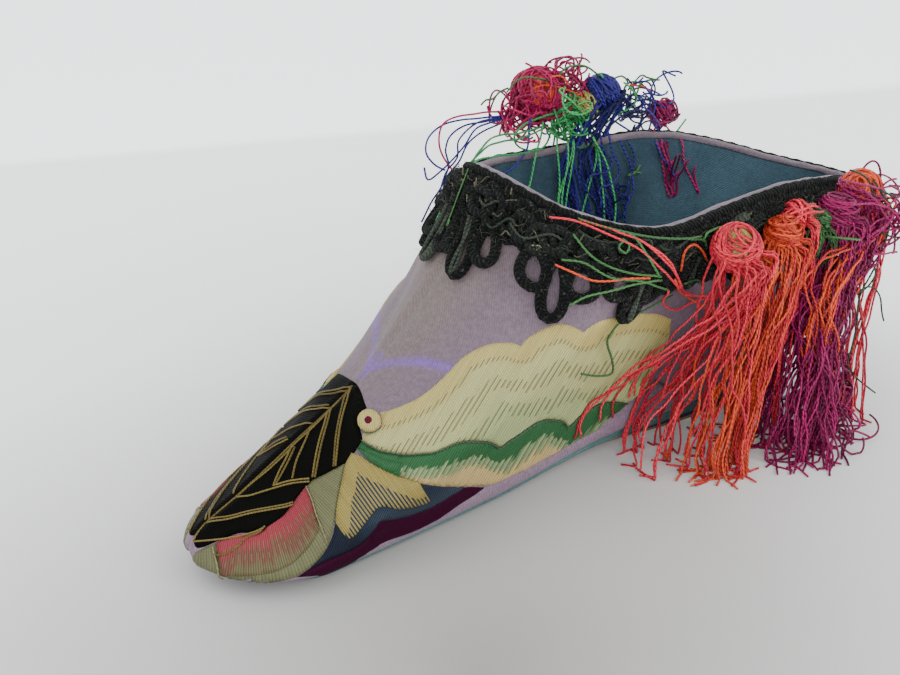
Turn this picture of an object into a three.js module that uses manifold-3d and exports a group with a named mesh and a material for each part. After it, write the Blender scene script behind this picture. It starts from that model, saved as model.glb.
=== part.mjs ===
import * as THREE from 'three'
import { mergeVertices } from 'three/addons/utils/BufferGeometryUtils.js'
import Module from 'manifold-3d'

const manifold = await Module()
manifold.setup()

// A lotus shoe in millimetres, +Z up, the nose towards -Y and the heel towards +Y.
// The origin is on the floor below the middle of the heel.

// Sizes of the whole shoe
const shoeLength = 146
const originBehindNose = 109
const frontPeakHeight = 55.6
const sideRimHeight = 47.0
const backPeakHeight = 34.0
const collarWidth = 49
const heelBackOverhang = 24

// The upper and its edges
const upperWall = 1.6
const bindingHeight = 1.7
const bindingOverlap = 0.35

// The sole's layers, heel and toe thickness of each
const outsoleHeel = 0.9
const outsoleToe = 0.6
const midsoleHeel = 1.4
const midsoleToe = 0.4
const wedgeHeel = 2.0
const wedgeToe = 0.4
const toeSpring = 0.4
const archRise = 1.2
const soleNoseInset = 4.5
const wedgeInset = 0.3
const midsoleInset = 0.7
const outsoleInset = 1.0
const forefootInset = { wedge: 0.8, midsole: 1.6, outsole: 2.2 }
const insoleThickness = 1.2
const fitClearance = 0.25

// The crocheted trim below the collar
const trimThickness = 1.8
const trimClearance = 0.35
const trimTopLevel = 0.955
const trimBottomLevel = 0.85
const picotCord = 2.1
const picotHalfWidth = 2.3
const picotSpacing = 7.0
const picotShort = 5.5
const picotLong = 9.5

// Tassels
const lockWidth = 2.4
const lockFloorGap = 1.2

const sideSteps = { front: 7, back: 12 }

// One row for each level of the upper, from the feather edge to the rim.
// rise: share of the height from feather edge to rim. front: the front edge of the level's oval,
// as a share of the shoe's length. width: share of the collar's width. belly: front edge to the
// widest place, as a share of the length. point: 0.5 is a round front, more is a pointed one.
// pinch: 0 is the sole's round heel, 1 the collar's narrow back.
const levelRows = [
  { rise: 0.000, front: 0.024, width: 0.620, belly: 0.103, point: 0.50, pinch: 0.00 },
  { rise: 0.022, front: 0.005, width: 0.642, belly: 0.118, point: 0.50, pinch: 0.01 },
  { rise: 0.052, front: 0.000, width: 0.652, belly: 0.132, point: 0.60, pinch: 0.03 },
  { rise: 0.077, front: 0.003, width: 0.652, belly: 0.142, point: 0.73, pinch: 0.04 },
  { rise: 0.098, front: 0.013, width: 0.660, belly: 0.147, point: 0.76, pinch: 0.06 },
  { rise: 0.135, front: 0.035, width: 0.680, belly: 0.148, point: 0.76, pinch: 0.10 },
  { rise: 0.180, front: 0.068, width: 0.702, belly: 0.148, point: 0.76, pinch: 0.15 },
  { rise: 0.237, front: 0.104, width: 0.722, belly: 0.147, point: 0.76, pinch: 0.22 },
  { rise: 0.300, front: 0.143, width: 0.745, belly: 0.144, point: 0.77, pinch: 0.30 },
  { rise: 0.415, front: 0.217, width: 0.800, belly: 0.133, point: 0.66, pinch: 0.44 },
  { rise: 0.595, front: 0.302, width: 0.870, belly: 0.124, point: 0.50, pinch: 0.66 },
  { rise: 0.680, front: 0.334, width: 0.905, belly: 0.124, point: 0.50, pinch: 0.76 },
  { rise: 0.825, front: 0.377, width: 0.955, belly: 0.132, point: 0.56, pinch: 0.90 },
  { rise: 1.000, front: 0.412, width: 1.000, belly: 0.142, point: 0.72, pinch: 1.00 },
]

// Half width behind the belly, as a share of the level's own: the sole's row and the rim's row.
const soleTaper = [
  { back: 0.00, share: 1.00 }, { back: 0.25, share: 0.93 }, { back: 0.40, share: 0.87 },
  { back: 0.60, share: 0.81 }, { back: 1.00, share: 0.78 },
]
const rimTaper = [
  { back: 0.00, share: 1.00 }, { back: 0.20, share: 0.915 }, { back: 0.40, share: 0.855 },
  { back: 0.50, share: 0.81 }, { back: 0.60, share: 0.73 }, { back: 0.70, share: 0.57 },
  { back: 0.80, share: 0.38 }, { back: 0.90, share: 0.235 }, { back: 1.00, share: 0.15 },
]
const heelRoundStart = { sole: 0.87, rim: 0.94 }

// The rim's height along the collar: 0 keeps the side's height, 1 is the peak in front.
const rimRise = [
  { along: 0.00, front: 1.00, back: 0.00 }, { along: 0.07, front: 0.46, back: 0.00 },
  { along: 0.13, front: 0.21, back: 0.00 }, { along: 0.20, front: 0.06, back: 0.00 },
  { along: 0.30, front: 0.00, back: 0.00 }, { along: 0.52, front: 0.00, back: 0.02 },
  { along: 0.63, front: 0.00, back: 0.12 }, { along: 0.74, front: 0.00, back: 0.33 },
  { along: 0.86, front: 0.00, back: 0.65 }, { along: 1.00, front: 0.00, back: 1.00 },
]

// Sole thickness along the shoe: 0 is the toe's value, 1 the heel's.
const soleBuild = [
  { along: 0.04, share: 0.00 }, { along: 0.20, share: 0.06 }, { along: 0.40, share: 0.28 },
  { along: 0.60, share: 0.72 }, { along: 0.75, share: 0.96 }, { along: 0.84, share: 1.00 },
]
const springEnd = 0.17
const archSpan = { from: 0.34, to: 0.66 }
const forefootFade = { from: 0.36, to: 0.66 }

// Helpers for curves through tables

function mix(a, b, share) {
  return a + (b - a) * share
}

function clamp(value, low, high) {
  return Math.min(Math.max(value, low), high)
}

// A smooth curve through a table's column that never overshoots its rows.
function through(rows, at, column, value) {
  const count = rows.length
  if (value <= rows[0][at]) return rows[0][column]
  if (value >= rows[count - 1][at]) return rows[count - 1][column]
  const slope = (i) => (rows[i + 1][column] - rows[i][column]) / (rows[i + 1][at] - rows[i][at])
  const tangent = (i) => {
    if (i === 0) return slope(0)
    if (i === count - 1) return slope(count - 2)
    const before = slope(i - 1)
    const after = slope(i)
    return before * after <= 0 ? 0 : 2 * before * after / (before + after)
  }
  let i = 0
  while (value > rows[i + 1][at]) i += 1
  const span = rows[i + 1][at] - rows[i][at]
  const t = (value - rows[i][at]) / span
  const t2 = t * t
  const t3 = t2 * t
  return (2 * t3 - 3 * t2 + 1) * rows[i][column] + (t3 - 2 * t2 + t) * span * tangent(i)
    + (3 * t2 - 2 * t3) * rows[i + 1][column] + (t3 - t2) * span * tangent(i + 1)
}

function alongShoe(share) {
  return share * shoeLength - originBehindNose
}

function shareAlong(y) {
  return (y + originBehindNose) / shoeLength
}

// The sole's surfaces, as heights above the floor

function soleBottom(y) {
  const share = shareAlong(y)
  const spring = toeSpring * clamp((springEnd - share) / springEnd, 0, 1) ** 2
  const through01 = clamp((share - archSpan.from) / (archSpan.to - archSpan.from), 0, 1)
  return spring + archRise * Math.sin(Math.PI * through01) ** 2
}

function layerThickness(toe, heel, y) {
  return mix(toe, heel, through(soleBuild, 'along', 'share', shareAlong(y)))
}

function outsoleTop(y) {
  return soleBottom(y) + layerThickness(outsoleToe, outsoleHeel, y)
}

function midsoleTop(y) {
  return outsoleTop(y) + fitClearance + layerThickness(midsoleToe, midsoleHeel, y)
}

function wedgeTop(y) {
  return midsoleTop(y) + fitClearance + layerThickness(wedgeToe, wedgeHeel, y)
}

function featherHeight(y) {
  return wedgeTop(y) + fitClearance
}

// The upper's outer surface. level runs from the feather edge (0) to the rim (1), around from
// the front seam (0) along the left side to the back seam (1).

const frontPart = 0.3
const heelSpread = 1.6

function upperPoint(level, around) {
  const column = (name) => through(levelRows, 'rise', name, level)
  const halfWidth = column('width') * collarWidth / 2
  const front = alongShoe(column('front'))
  const belly = front + column('belly') * shoeLength
  const back = shoeLength - originBehindNose - heelBackOverhang * (1 - level)
  const pinch = column('pinch')
  let x = 0
  let y = 0
  if (around < frontPart) {
    const turn = around / frontPart * Math.PI / 2
    y = front + (belly - front) * (1 - Math.cos(turn))
    x = halfWidth * Math.sin(turn) ** (2 * column('point'))
  } else {
    const share = (around - frontPart) / (1 - frontPart)
    const behind = 1 - (1 - share) ** heelSpread
    y = mix(belly, back, behind)
    const start = mix(heelRoundStart.sole, heelRoundStart.rim, pinch)
    const roundOff = clamp((behind - start) / (1 - start), 0, 1)
    const taper = mix(through(soleTaper, 'back', 'share', behind),
      through(rimTaper, 'back', 'share', behind), pinch)
    x = halfWidth * taper * Math.sqrt(1 - roundOff ** 2)
  }
  const along = (y - front) / (back - front)
  const rim = sideRimHeight
    + through(rimRise, 'along', 'front', along) * (frontPeakHeight - sideRimHeight)
    + through(rimRise, 'along', 'back', along) * (backPeakHeight - sideRimHeight)
  const z = mix(featherHeight(y), rim, level)
  return new THREE.Vector3(x, y, z)
}

// The outward direction of the upper, level with the floor, and its share of the true normal.
function outward(level, around) {
  const step = 0.002
  const low = clamp(level - step, 0, 1)
  const high = clamp(level + step, 0, 1)
  const before = clamp(around - step, 0, 1)
  const after = clamp(around + step, 0, 1)
  const up = upperPoint(high, around).sub(upperPoint(low, around))
  const on = upperPoint(level, after).sub(upperPoint(level, before))
  const normal = on.cross(up).normalize()
  if (around <= step || around >= 1 - step) normal.x = 0
  const flat = Math.hypot(normal.x, normal.y)
  return { x: normal.x / flat, y: normal.y / flat, share: flat / Math.hypot(flat, normal.z) }
}

// A point at a given distance outside the upper's outer surface, or inside it when negative.
function besideUpper(level, around, distance) {
  const point = upperPoint(level, around)
  const direction = outward(level, around)
  const shift = distance / Math.max(direction.share, 0.55)
  return new THREE.Vector3(point.x + direction.x * shift, point.y + direction.y * shift, point.z)
}

function sidePlaces() {
  const places = []
  for (let i = 0; i <= sideSteps.front; i += 1) places.push(frontPart * i / sideSteps.front)
  for (let i = 1; i <= sideSteps.back; i += 1) {
    places.push(frontPart + (1 - frontPart) * i / sideSteps.back)
  }
  return places
}

// A closed ring round the shoe: the left side from front to back, then the right side mirrored.
function ringFrom(sidePoint) {
  const places = sidePlaces()
  const left = places.map((around) => sidePoint(around))
  left[0].x = 0
  left[left.length - 1].x = 0
  const right = left.slice(1, -1).reverse().map((p) => new THREE.Vector3(-p.x, p.y, p.z))
  return [...left, ...right]
}

// Solids from rings of points

function solidGeometry(points, faces) {
  const geometry = new THREE.BufferGeometry()
  const numbers = points.flatMap((p) => [p.x, p.y, p.z])
  geometry.setAttribute('position', new THREE.Float32BufferAttribute(numbers, 3))
  let volume = 0
  for (const [a, b, c] of faces) volume += points[a].dot(points[b].clone().cross(points[c]))
  const outwardFaces = volume > 0 ? faces : faces.map(([a, b, c]) => [a, c, b])
  geometry.setIndex(outwardFaces.flat())
  return geometry
}

function wallBetween(faces, startA, startB, count) {
  for (let i = 0; i < count; i += 1) {
    const next = (i + 1) % count
    faces.push([startA + i, startA + next, startB + next])
    faces.push([startA + i, startB + next, startB + i])
  }
}

// Rings joined one after the other and the last to the first, like the wall of a tube bent round.
function loopedSolid(rings) {
  const count = rings[0].length
  const faces = []
  rings.forEach((ring, r) => wallBetween(faces, r * count, ((r + 1) % rings.length) * count, count))
  return solidGeometry(rings.flat(), faces)
}

// Rings joined one after the other, with both ends closed.
function cappedSolid(rings) {
  const count = rings[0].length
  const faces = []
  for (let r = 0; r + 1 < rings.length; r += 1) wallBetween(faces, r * count, (r + 1) * count, count)
  const points = rings.flat()
  const middle = (ring) => ring.reduce((sum, p) => sum.add(p), new THREE.Vector3()).divideScalar(count)
  const first = points.length
  points.push(middle(rings[0]), middle(rings[rings.length - 1]))
  const last = (rings.length - 1) * count
  for (let i = 0; i < count; i += 1) {
    const next = (i + 1) % count
    faces.push([first, next, i])
    faces.push([first + 1, last + i, last + next])
  }
  return solidGeometry(points, faces)
}

// A round cord through a few places, thinner at its far end when asked.
function cord(places, width, sides, segments, endShare = 1) {
  const curve = new THREE.CatmullRomCurve3(places, false, 'centripetal')
  const frames = curve.computeFrenetFrames(segments, false)
  const rings = []
  for (let s = 0; s <= segments; s += 1) {
    const centre = curve.getPointAt(s / segments)
    const radius = width / 2 * mix(1, endShare, s / segments)
    const ring = []
    for (let i = 0; i < sides; i += 1) {
      const angle = i / sides * 2 * Math.PI
      ring.push(centre.clone()
        .addScaledVector(frames.normals[s], Math.cos(angle) * radius)
        .addScaledVector(frames.binormals[s], Math.sin(angle) * radius))
    }
    rings.push(ring)
  }
  return cappedSolid(rings)
}

function toManifold(geometry) {
  const bare = geometry.clone()
  bare.deleteAttribute('normal')
  bare.deleteAttribute('uv')
  const merged = mergeVertices(bare, 1e-4)
  return new manifold.Manifold(new manifold.Mesh({
    numProp: 3,
    vertProperties: new Float32Array(merged.attributes.position.array),
    triVerts: new Uint32Array(merged.index.array),
  }))
}

function fused(geometries) {
  const solids = geometries.map(toManifold)
  const whole = solids.slice(1).reduce((sum, solid) => sum.add(solid), solids[0])
  const mesh = whole.getMesh()
  const geometry = new THREE.BufferGeometry()
  geometry.setAttribute('position', new THREE.Float32BufferAttribute(mesh.vertProperties, 3))
  geometry.setIndex(new THREE.Uint32BufferAttribute(mesh.triVerts, 1))
  return geometry
}

// The sole's layers

// Half of a layer's outline, from its nose to its heel: the upper's feather edge moved inward,
// and further in under the forefoot, where the upper hides the sole.
function soleOutline(inset, forefoot) {
  const half = sidePlaces().map((around) => {
    const forward = clamp(1 - around / frontPart, 0, 1)
    const along = shareAlong(upperPoint(0, around).y)
    const fade = clamp((forefootFade.to - along) / (forefootFade.to - forefootFade.from), 0, 1)
    const hidden = forefoot * fade * fade * (3 - 2 * fade)
    return besideUpper(0, around, -inset - hidden - soleNoseInset * forward ** 2)
  })
  half[0].x = 0
  half[half.length - 1].x = 0
  return half
}

// A layer between two heights that follow the shoe's length.
function soleLayer(inset, forefoot, bottom, top) {
  const half = soleOutline(inset, forefoot)
  const last = half.length - 1
  const points = []
  const faces = []
  const station = half.map((p, i) => {
    const sides = i === 0 || i === last ? [0] : [p.x, -p.x]
    return sides.map((x) => {
      points.push(new THREE.Vector3(x, p.y, bottom(p.y)), new THREE.Vector3(x, p.y, top(p.y)))
      return points.length - 2
    })
  })
  for (let i = 0; i < last; i += 1) {
    const [leftA, rightA] = [station[i][0], station[i][station[i].length - 1]]
    const [leftB, rightB] = [station[i + 1][0], station[i + 1][station[i + 1].length - 1]]
    faces.push([leftA, leftA + 1, leftB + 1], [leftA, leftB + 1, leftB])
    faces.push([rightA, rightB + 1, rightA + 1], [rightA, rightB, rightB + 1])
    if (leftA !== rightA) faces.push([leftA, rightB, rightA], [leftA + 1, rightA + 1, rightB + 1])
    if (leftB !== rightB) faces.push([leftA, leftB, rightB], [leftA + 1, rightB + 1, leftB + 1])
  }
  return solidGeometry(points, faces)
}

function outsole() {
  return soleLayer(outsoleInset, forefootInset.outsole, soleBottom, outsoleTop)
}

function midsole() {
  const bottom = (y) => outsoleTop(y) + fitClearance
  return soleLayer(midsoleInset, forefootInset.midsole, bottom, midsoleTop)
}

function wedge() {
  const bottom = (y) => midsoleTop(y) + fitClearance
  return soleLayer(wedgeInset, forefootInset.wedge, bottom, wedgeTop)
}

function insole() {
  const top = (y) => featherHeight(y) + insoleThickness
  return soleLayer(upperWall + 2 * fitClearance, 0, featherHeight, top)
}

// The upper: one wall, open at the collar and underneath

function upper() {
  const levels = [0, 0.02, 0.045, 0.077, 0.1, 0.14, 0.19, 0.25, 0.32, 0.4, 0.49, 0.58, 0.67,
    0.76, 0.86, 0.93, 1]
  const outer = levels.map((level) => ringFrom((around) => upperPoint(level, around)))
  const inner = levels.map((level) => ringFrom((around) => besideUpper(level, around, -upperWall)))
  return loopedSolid([...outer, ...inner.reverse()])
}

// The bound edge that sits on the rim
function collarBinding() {
  const section = [
    { out: bindingOverlap, up: fitClearance },
    { out: bindingOverlap, up: fitClearance + bindingHeight * 0.6 },
    { out: -upperWall * 0.3, up: fitClearance + bindingHeight },
    { out: -upperWall * 0.7, up: fitClearance + bindingHeight },
    { out: -upperWall - bindingOverlap, up: fitClearance + bindingHeight * 0.6 },
    { out: -upperWall - bindingOverlap, up: fitClearance },
  ]
  return loopedSolid(section.map(({ out, up }) => ringFrom((around) => {
    const point = besideUpper(1, around, out)
    point.z += up
    return point
  })))
}

// The crocheted trim: a band round the collar with picot loops hanging from it

function trimBand() {
  const levels = [trimBottomLevel, mix(trimBottomLevel, trimTopLevel, 0.5), trimTopLevel]
  const inner = levels.map((level) => ringFrom((around) => besideUpper(level, around, trimClearance)))
  const outer = levels.map((level) => ringFrom(
    (around) => besideUpper(level, around, trimClearance + trimThickness)))
  return loopedSolid([...outer, ...inner.reverse()])
}

// Distance round the upper at the band's lower edge, as a list of places to look up.
function trimGirth() {
  const steps = 200
  const rows = [{ around: 0, distance: 0 }]
  let before = upperPoint(trimBottomLevel, 0)
  for (let i = 1; i <= steps; i += 1) {
    const point = upperPoint(trimBottomLevel, i / steps)
    rows.push({ around: i / steps, distance: rows[i - 1].distance + point.distanceTo(before) })
    before = point
  }
  return rows
}

// The place round the upper straight below another one, where a hanging thread would lie.
function hangsBelow(level, around, lower) {
  const step = 0.004
  const from = upperPoint(level, around)
  const { x, y } = outward(level, around)
  const aside = (point) => (point.y - from.y) * x - (point.x - from.x) * y
  let place = around
  for (let i = 0; i < 4; i += 1) {
    const across = aside(upperPoint(lower, place + step)) - aside(upperPoint(lower, place - step))
    const slope = across / (2 * step)
    place = clamp(place - aside(upperPoint(lower, place)) / slope, step, 1 - step)
  }
  return place
}

function picot(girth, centre, drop, side) {
  const stand = trimClearance + picotCord / 2
  const above = through(girth, 'distance', 'around', centre)
  const sample = 0.1
  const below = trimBottomLevel - sample
  const hung = upperPoint(below, hangsBelow(trimBottomLevel, above, below))
  const levelDrop = drop * sample / upperPoint(trimBottomLevel, above).distanceTo(hung)
  const outline = [
    { across: -0.5, down: -0.10 }, { across: -1.0, down: 0.40 }, { across: -0.9, down: 0.85 },
    { across: 0, down: 1 }, { across: 0.9, down: 0.85 }, { across: 1.0, down: 0.40 },
    { across: 0.5, down: -0.10 },
  ]
  const places = outline.map(({ across, down }) => {
    const top = through(girth, 'distance', 'around', centre + across * picotHalfWidth)
    const level = trimBottomLevel - down * levelDrop
    const point = besideUpper(level, hangsBelow(trimBottomLevel, top, level), stand)
    return new THREE.Vector3(point.x * side, point.y, point.z)
  })
  return cord(places, picotCord, 5, 8)
}

function collarTrim() {
  const girth = trimGirth()
  const length = girth[girth.length - 1].distance
  const count = Math.floor((length - picotSpacing) / picotSpacing)
  const pieces = [trimBand()]
  for (let i = 0; i < count; i += 1) {
    const centre = (length - (count - 1) * picotSpacing) / 2 + i * picotSpacing
    const drop = i % 2 === 0 ? picotLong : picotShort
    pieces.push(picot(girth, centre, drop, 1), picot(girth, centre, drop, -1))
  }
  return fused(pieces)
}

// Tassels: a wound head with locks of thread that hang from it

// The head's centre stands off the trim at a level of the upper, on the left (1) or right (-1).
function headCentre({ level, along, off, radius, side, lift = 0 }) {
  const y = alongShoe(along)
  const rows = []
  for (let i = 0; i <= 60; i += 1) {
    const around = frontPart + (1 - frontPart) * i / 60
    rows.push({ around, y: upperPoint(level, around).y })
  }
  const around = through(rows, 'y', 'around', y)
  const point = besideUpper(level, around, trimClearance + trimThickness + off + radius)
  return new THREE.Vector3(point.x * side, point.y, point.z + lift)
}

function ball(centre, radius) {
  const geometry = new THREE.IcosahedronGeometry(radius, 1)
  geometry.translate(centre.x, centre.y, centre.z)
  return mergeVertices(bareOf(geometry), 1e-4)
}

function bareOf(geometry) {
  geometry.deleteAttribute('normal')
  geometry.deleteAttribute('uv')
  return geometry
}

// Each lock leaves the head, sags out and ends at a place given from the head's centre.
function tassel(head, locks) {
  const centre = headCentre(head)
  const pieces = [ball(centre, head.radius)]
  for (const { out, along, to } of locks) {
    const height = Math.max(to, lockFloorGap + lockWidth / 2)
    const end = new THREE.Vector3(centre.x + out * head.side, centre.y + along, height)
    const drop = centre.z - end.z
    const shoulder = new THREE.Vector3(
      centre.x + (out * 0.25 + head.radius * 0.3) * head.side,
      centre.y + along * 0.3, centre.z - drop * 0.3)
    const knee = new THREE.Vector3(
      centre.x + out * 0.7 * head.side, centre.y + along * 0.72, centre.z - drop * 0.7)
    pieces.push(cord([centre, shoulder, knee, end], lockWidth, 6, 5, 0.7))
  }
  return fused(pieces)
}

const leftHeads = {
  coral: { level: 0.90, along: 0.605, off: 0.2, radius: 5.0, side: 1 },
  orange: { level: 0.86, along: 0.700, off: 0.2, radius: 4.2, side: 1 },
  green: { level: 0.80, along: 0.752, off: 0.2, radius: 2.6, side: 1 },
  magenta: { level: 0.90, along: 0.812, off: 0.2, radius: 4.2, side: 1 },
  crimson: { level: 0.95, along: 0.878, off: 0.3, radius: 4.4, side: 1 },
}

const rightHeads = {
  magenta: { level: 1, along: 0.620, off: -3.8, lift: 5.9, radius: 5.8, side: -1 },
  ochre: { level: 1, along: 0.690, off: -1.8, lift: 3.8, radius: 3.3, side: -1 },
  blue: { level: 1, along: 0.744, off: -2.1, lift: 3.0, radius: 3.8, side: -1 },
  crimson: { level: 0.95, along: 0.815, off: 0.2, radius: 3.4, side: -1 },
}

function node(name, geometry, color, roughness) {
  const material = new THREE.MeshStandardMaterial({ color, roughness, metalness: 0 })
  const mesh = new THREE.Mesh(geometry, material)
  mesh.name = name
  return mesh
}

const shoe = new THREE.Group()
shoe.add(node('outsole', outsole(), 0x8a6238, 0.7))
shoe.add(node('midsole', midsole(), 0x1d2450, 0.85))
shoe.add(node('wedge', wedge(), 0x4f8a80, 0.85))
shoe.add(node('insole', insole(), 0x6f8a97, 0.95))
shoe.add(node('upper', upper(), 0x8f7d99, 0.7))
shoe.add(node('collar_binding', collarBinding(), 0xa98ba0, 0.8))
shoe.add(node('collar_trim', collarTrim(), 0x1c2320, 0.95))
shoe.add(node('tassel_coral', tassel(leftHeads.coral, [
  { out: -14, along: -11, to: 8 }, { out: -8, along: -10, to: 3 }, { out: -3, along: -7, to: 2 },
  { out: 1, along: -5, to: 0 }, { out: 4, along: -2, to: 0 },
]), 0xd2483f, 0.5))
shoe.add(node('tassel_orange', tassel(leftHeads.orange, [
  { out: 6, along: -9, to: 0 }, { out: 2, along: -6, to: 0 }, { out: 7, along: -4, to: 0 },
  { out: 2, along: -1, to: 0 },
]), 0xd9622c, 0.5))
shoe.add(node('tassel_green', tassel(leftHeads.green, [
  { out: -5, along: 0, to: 6 }, { out: -2, along: 1, to: 5 },
]), 0x2f4a38, 0.6))
shoe.add(node('tassel_magenta', tassel(leftHeads.magenta, [
  { out: 8, along: -8, to: 0 }, { out: 10, along: -4, to: 0 }, { out: 5, along: -2, to: 0 },
  { out: 8, along: 1, to: 0 },
]), 0x8c1f5c, 0.5))
shoe.add(node('tassel_crimson', tassel(leftHeads.crimson, [
  { out: 16, along: -6, to: 0 }, { out: 12, along: -2, to: 0 }, { out: 7, along: -3, to: 1 },
  { out: 9, along: 2, to: 4 },
]), 0xa02a68, 0.5))
shoe.add(node('tassel_far_magenta', tassel(rightHeads.magenta, [
  { out: 3, along: -5, to: 22 }, { out: 5, along: 0, to: 18 }, { out: 3, along: 4, to: 25 },
]), 0xa32460, 0.5))
shoe.add(node('tassel_far_ochre', tassel(rightHeads.ochre, [{ out: 3, along: 0, to: 27 }]), 0xb98a3c, 0.5))
shoe.add(node('tassel_far_blue', tassel(rightHeads.blue, [
  { out: 4, along: -1, to: 20 }, { out: 2, along: 3, to: 25 },
]), 0x23307c, 0.5))
shoe.add(node('tassel_far_crimson', tassel(rightHeads.crimson, [
  { out: 4, along: -1, to: 20 }, { out: 3, along: 3, to: 24 },
]), 0xa02a55, 0.5))

export default shoe
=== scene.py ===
import math
import random

import bpy
import numpy as np
from mathutils import Matrix, Vector, kdtree
from mathutils.geometry import delaunay_2d_cdt


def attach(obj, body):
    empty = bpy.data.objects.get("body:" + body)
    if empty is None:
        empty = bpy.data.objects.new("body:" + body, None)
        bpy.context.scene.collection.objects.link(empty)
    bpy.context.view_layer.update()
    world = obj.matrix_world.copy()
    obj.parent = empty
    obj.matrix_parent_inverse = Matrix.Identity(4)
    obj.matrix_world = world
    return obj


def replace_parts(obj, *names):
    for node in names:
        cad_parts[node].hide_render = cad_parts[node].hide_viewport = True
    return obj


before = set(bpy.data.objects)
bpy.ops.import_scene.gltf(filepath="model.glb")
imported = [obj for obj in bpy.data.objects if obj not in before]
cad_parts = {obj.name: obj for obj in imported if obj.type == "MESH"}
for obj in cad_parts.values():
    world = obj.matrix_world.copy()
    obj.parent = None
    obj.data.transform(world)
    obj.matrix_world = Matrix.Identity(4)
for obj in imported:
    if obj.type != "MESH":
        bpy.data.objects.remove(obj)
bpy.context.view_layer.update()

# A lotus shoe. Sizes are in millimetres and become metres when a mesh is made. The nose points
# towards -Y, and +X is the side that the camera sees.
MM = 0.001
SHOE_LENGTH = 146.0
ORIGIN_BEHIND_NOSE = 109.0
FRONT_PEAK, SIDE_RIM, BACK_PEAK = 55.6, 47.0, 34.0
COLLAR_WIDTH = 49.0
HEEL_OVERHANG = 24.0
UPPER_WALL = 1.6
FIT = 0.25

# The upper's function, as in the part's source: rise, front, width, belly, point, pinch
LEVEL_ROWS = np.array([
    [0.000, 0.024, 0.620, 0.103, 0.50, 0.00],
    [0.022, 0.005, 0.642, 0.118, 0.50, 0.01],
    [0.052, 0.000, 0.652, 0.132, 0.60, 0.03],
    [0.077, 0.003, 0.652, 0.142, 0.73, 0.04],
    [0.098, 0.013, 0.660, 0.147, 0.76, 0.06],
    [0.135, 0.035, 0.680, 0.148, 0.76, 0.10],
    [0.180, 0.068, 0.702, 0.148, 0.76, 0.15],
    [0.237, 0.104, 0.722, 0.147, 0.76, 0.22],
    [0.300, 0.143, 0.745, 0.144, 0.77, 0.30],
    [0.415, 0.217, 0.800, 0.133, 0.66, 0.44],
    [0.595, 0.302, 0.870, 0.124, 0.50, 0.66],
    [0.680, 0.334, 0.905, 0.124, 0.50, 0.76],
    [0.825, 0.377, 0.955, 0.132, 0.56, 0.90],
    [1.000, 0.412, 1.000, 0.142, 0.72, 1.00],
])
SOLE_TAPER = np.array([[0, 1], [0.25, 0.93], [0.40, 0.87], [0.60, 0.81], [1, 0.78]])
RIM_TAPER = np.array([[0, 1], [0.20, 0.915], [0.40, 0.855], [0.50, 0.81], [0.60, 0.73],
                      [0.70, 0.57], [0.80, 0.38], [0.90, 0.235], [1, 0.15]])
RIM_RISE = np.array([[0, 1, 0], [0.07, 0.46, 0], [0.13, 0.21, 0], [0.20, 0.06, 0], [0.30, 0, 0],
                     [0.52, 0, 0.02], [0.63, 0, 0.12], [0.74, 0, 0.33], [0.86, 0, 0.65], [1, 0, 1]])
SOLE_BUILD = np.array([[0.04, 0], [0.20, 0.06], [0.40, 0.28], [0.60, 0.72], [0.75, 0.96], [0.84, 1]])
HEEL_ROUND_SOLE, HEEL_ROUND_RIM = 0.87, 0.94
FRONT_PART, HEEL_SPREAD = 0.3, 1.6

# The sole's layers: thickness at the toe and the heel, inset at the side and under the forefoot
OUTSOLE = {"toe": 0.6, "heel": 0.9, "inset": 1.0, "forefoot": 2.2}
MIDSOLE = {"toe": 0.4, "heel": 1.4, "inset": 0.7, "forefoot": 1.6}
WEDGE = {"toe": 0.4, "heel": 2.0, "inset": 0.15, "forefoot": 0.35}
TOE_SPRING, ARCH_RISE, NOSE_INSET, INSOLE_THICKNESS = 0.4, 1.2, 4.5, 1.2


def through(rows, column, value):
    """A smooth curve through a table's column that never overshoots its rows."""
    xs, ys = rows[:, 0], rows[:, column]
    slopes = np.diff(ys) / np.diff(xs)
    before, after = slopes[:-1], slopes[1:]
    both = before + after
    middle = np.where(before * after > 0, 2 * before * after / np.where(both == 0, 1, both), 0)
    tangents = np.concatenate([slopes[:1], middle, slopes[-1:]])
    value = np.clip(value, xs[0], xs[-1])
    i = np.clip(np.searchsorted(xs, value, side="left") - 1, 0, len(xs) - 2)
    span = xs[i + 1] - xs[i]
    t = (value - xs[i]) / span
    return ((2 * t**3 - 3 * t**2 + 1) * ys[i] + (t**3 - 2 * t**2 + t) * span * tangents[i]
            + (3 * t**2 - 2 * t**3) * ys[i + 1] + (t**3 - t**2) * span * tangents[i + 1])


def smooth(value):
    value = np.clip(value, 0, 1)
    return value * value * (3 - 2 * value)


def unit(vector):
    return vector / np.linalg.norm(vector)


def mirrored(points, side):
    """The same points on the left (1) or the right (-1)."""
    return points * np.array([side, 1, 1])


def share_along(y):
    return (y + ORIGIN_BEHIND_NOSE) / SHOE_LENGTH


def sole_bottom(y):
    share = share_along(y)
    spring = TOE_SPRING * np.clip((0.17 - share) / 0.17, 0, 1) ** 2
    return spring + ARCH_RISE * np.sin(np.pi * np.clip((share - 0.34) / 0.32, 0, 1)) ** 2


def layer_top(y, layers):
    """The height of the top of the given layers, each a fit apart."""
    build = through(SOLE_BUILD, 1, share_along(y))
    height = sole_bottom(y)
    for number, layer in enumerate(layers):
        height = height + (FIT if number else 0) + layer["toe"] + (layer["heel"] - layer["toe"]) * build
    return height


def feather_height(y):
    return layer_top(y, [OUTSOLE, MIDSOLE, WEDGE]) + FIT


def rim_height(share):
    return (SIDE_RIM + through(RIM_RISE, 1, share) * (FRONT_PEAK - SIDE_RIM)
            + through(RIM_RISE, 2, share) * (BACK_PEAK - SIDE_RIM))


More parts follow.
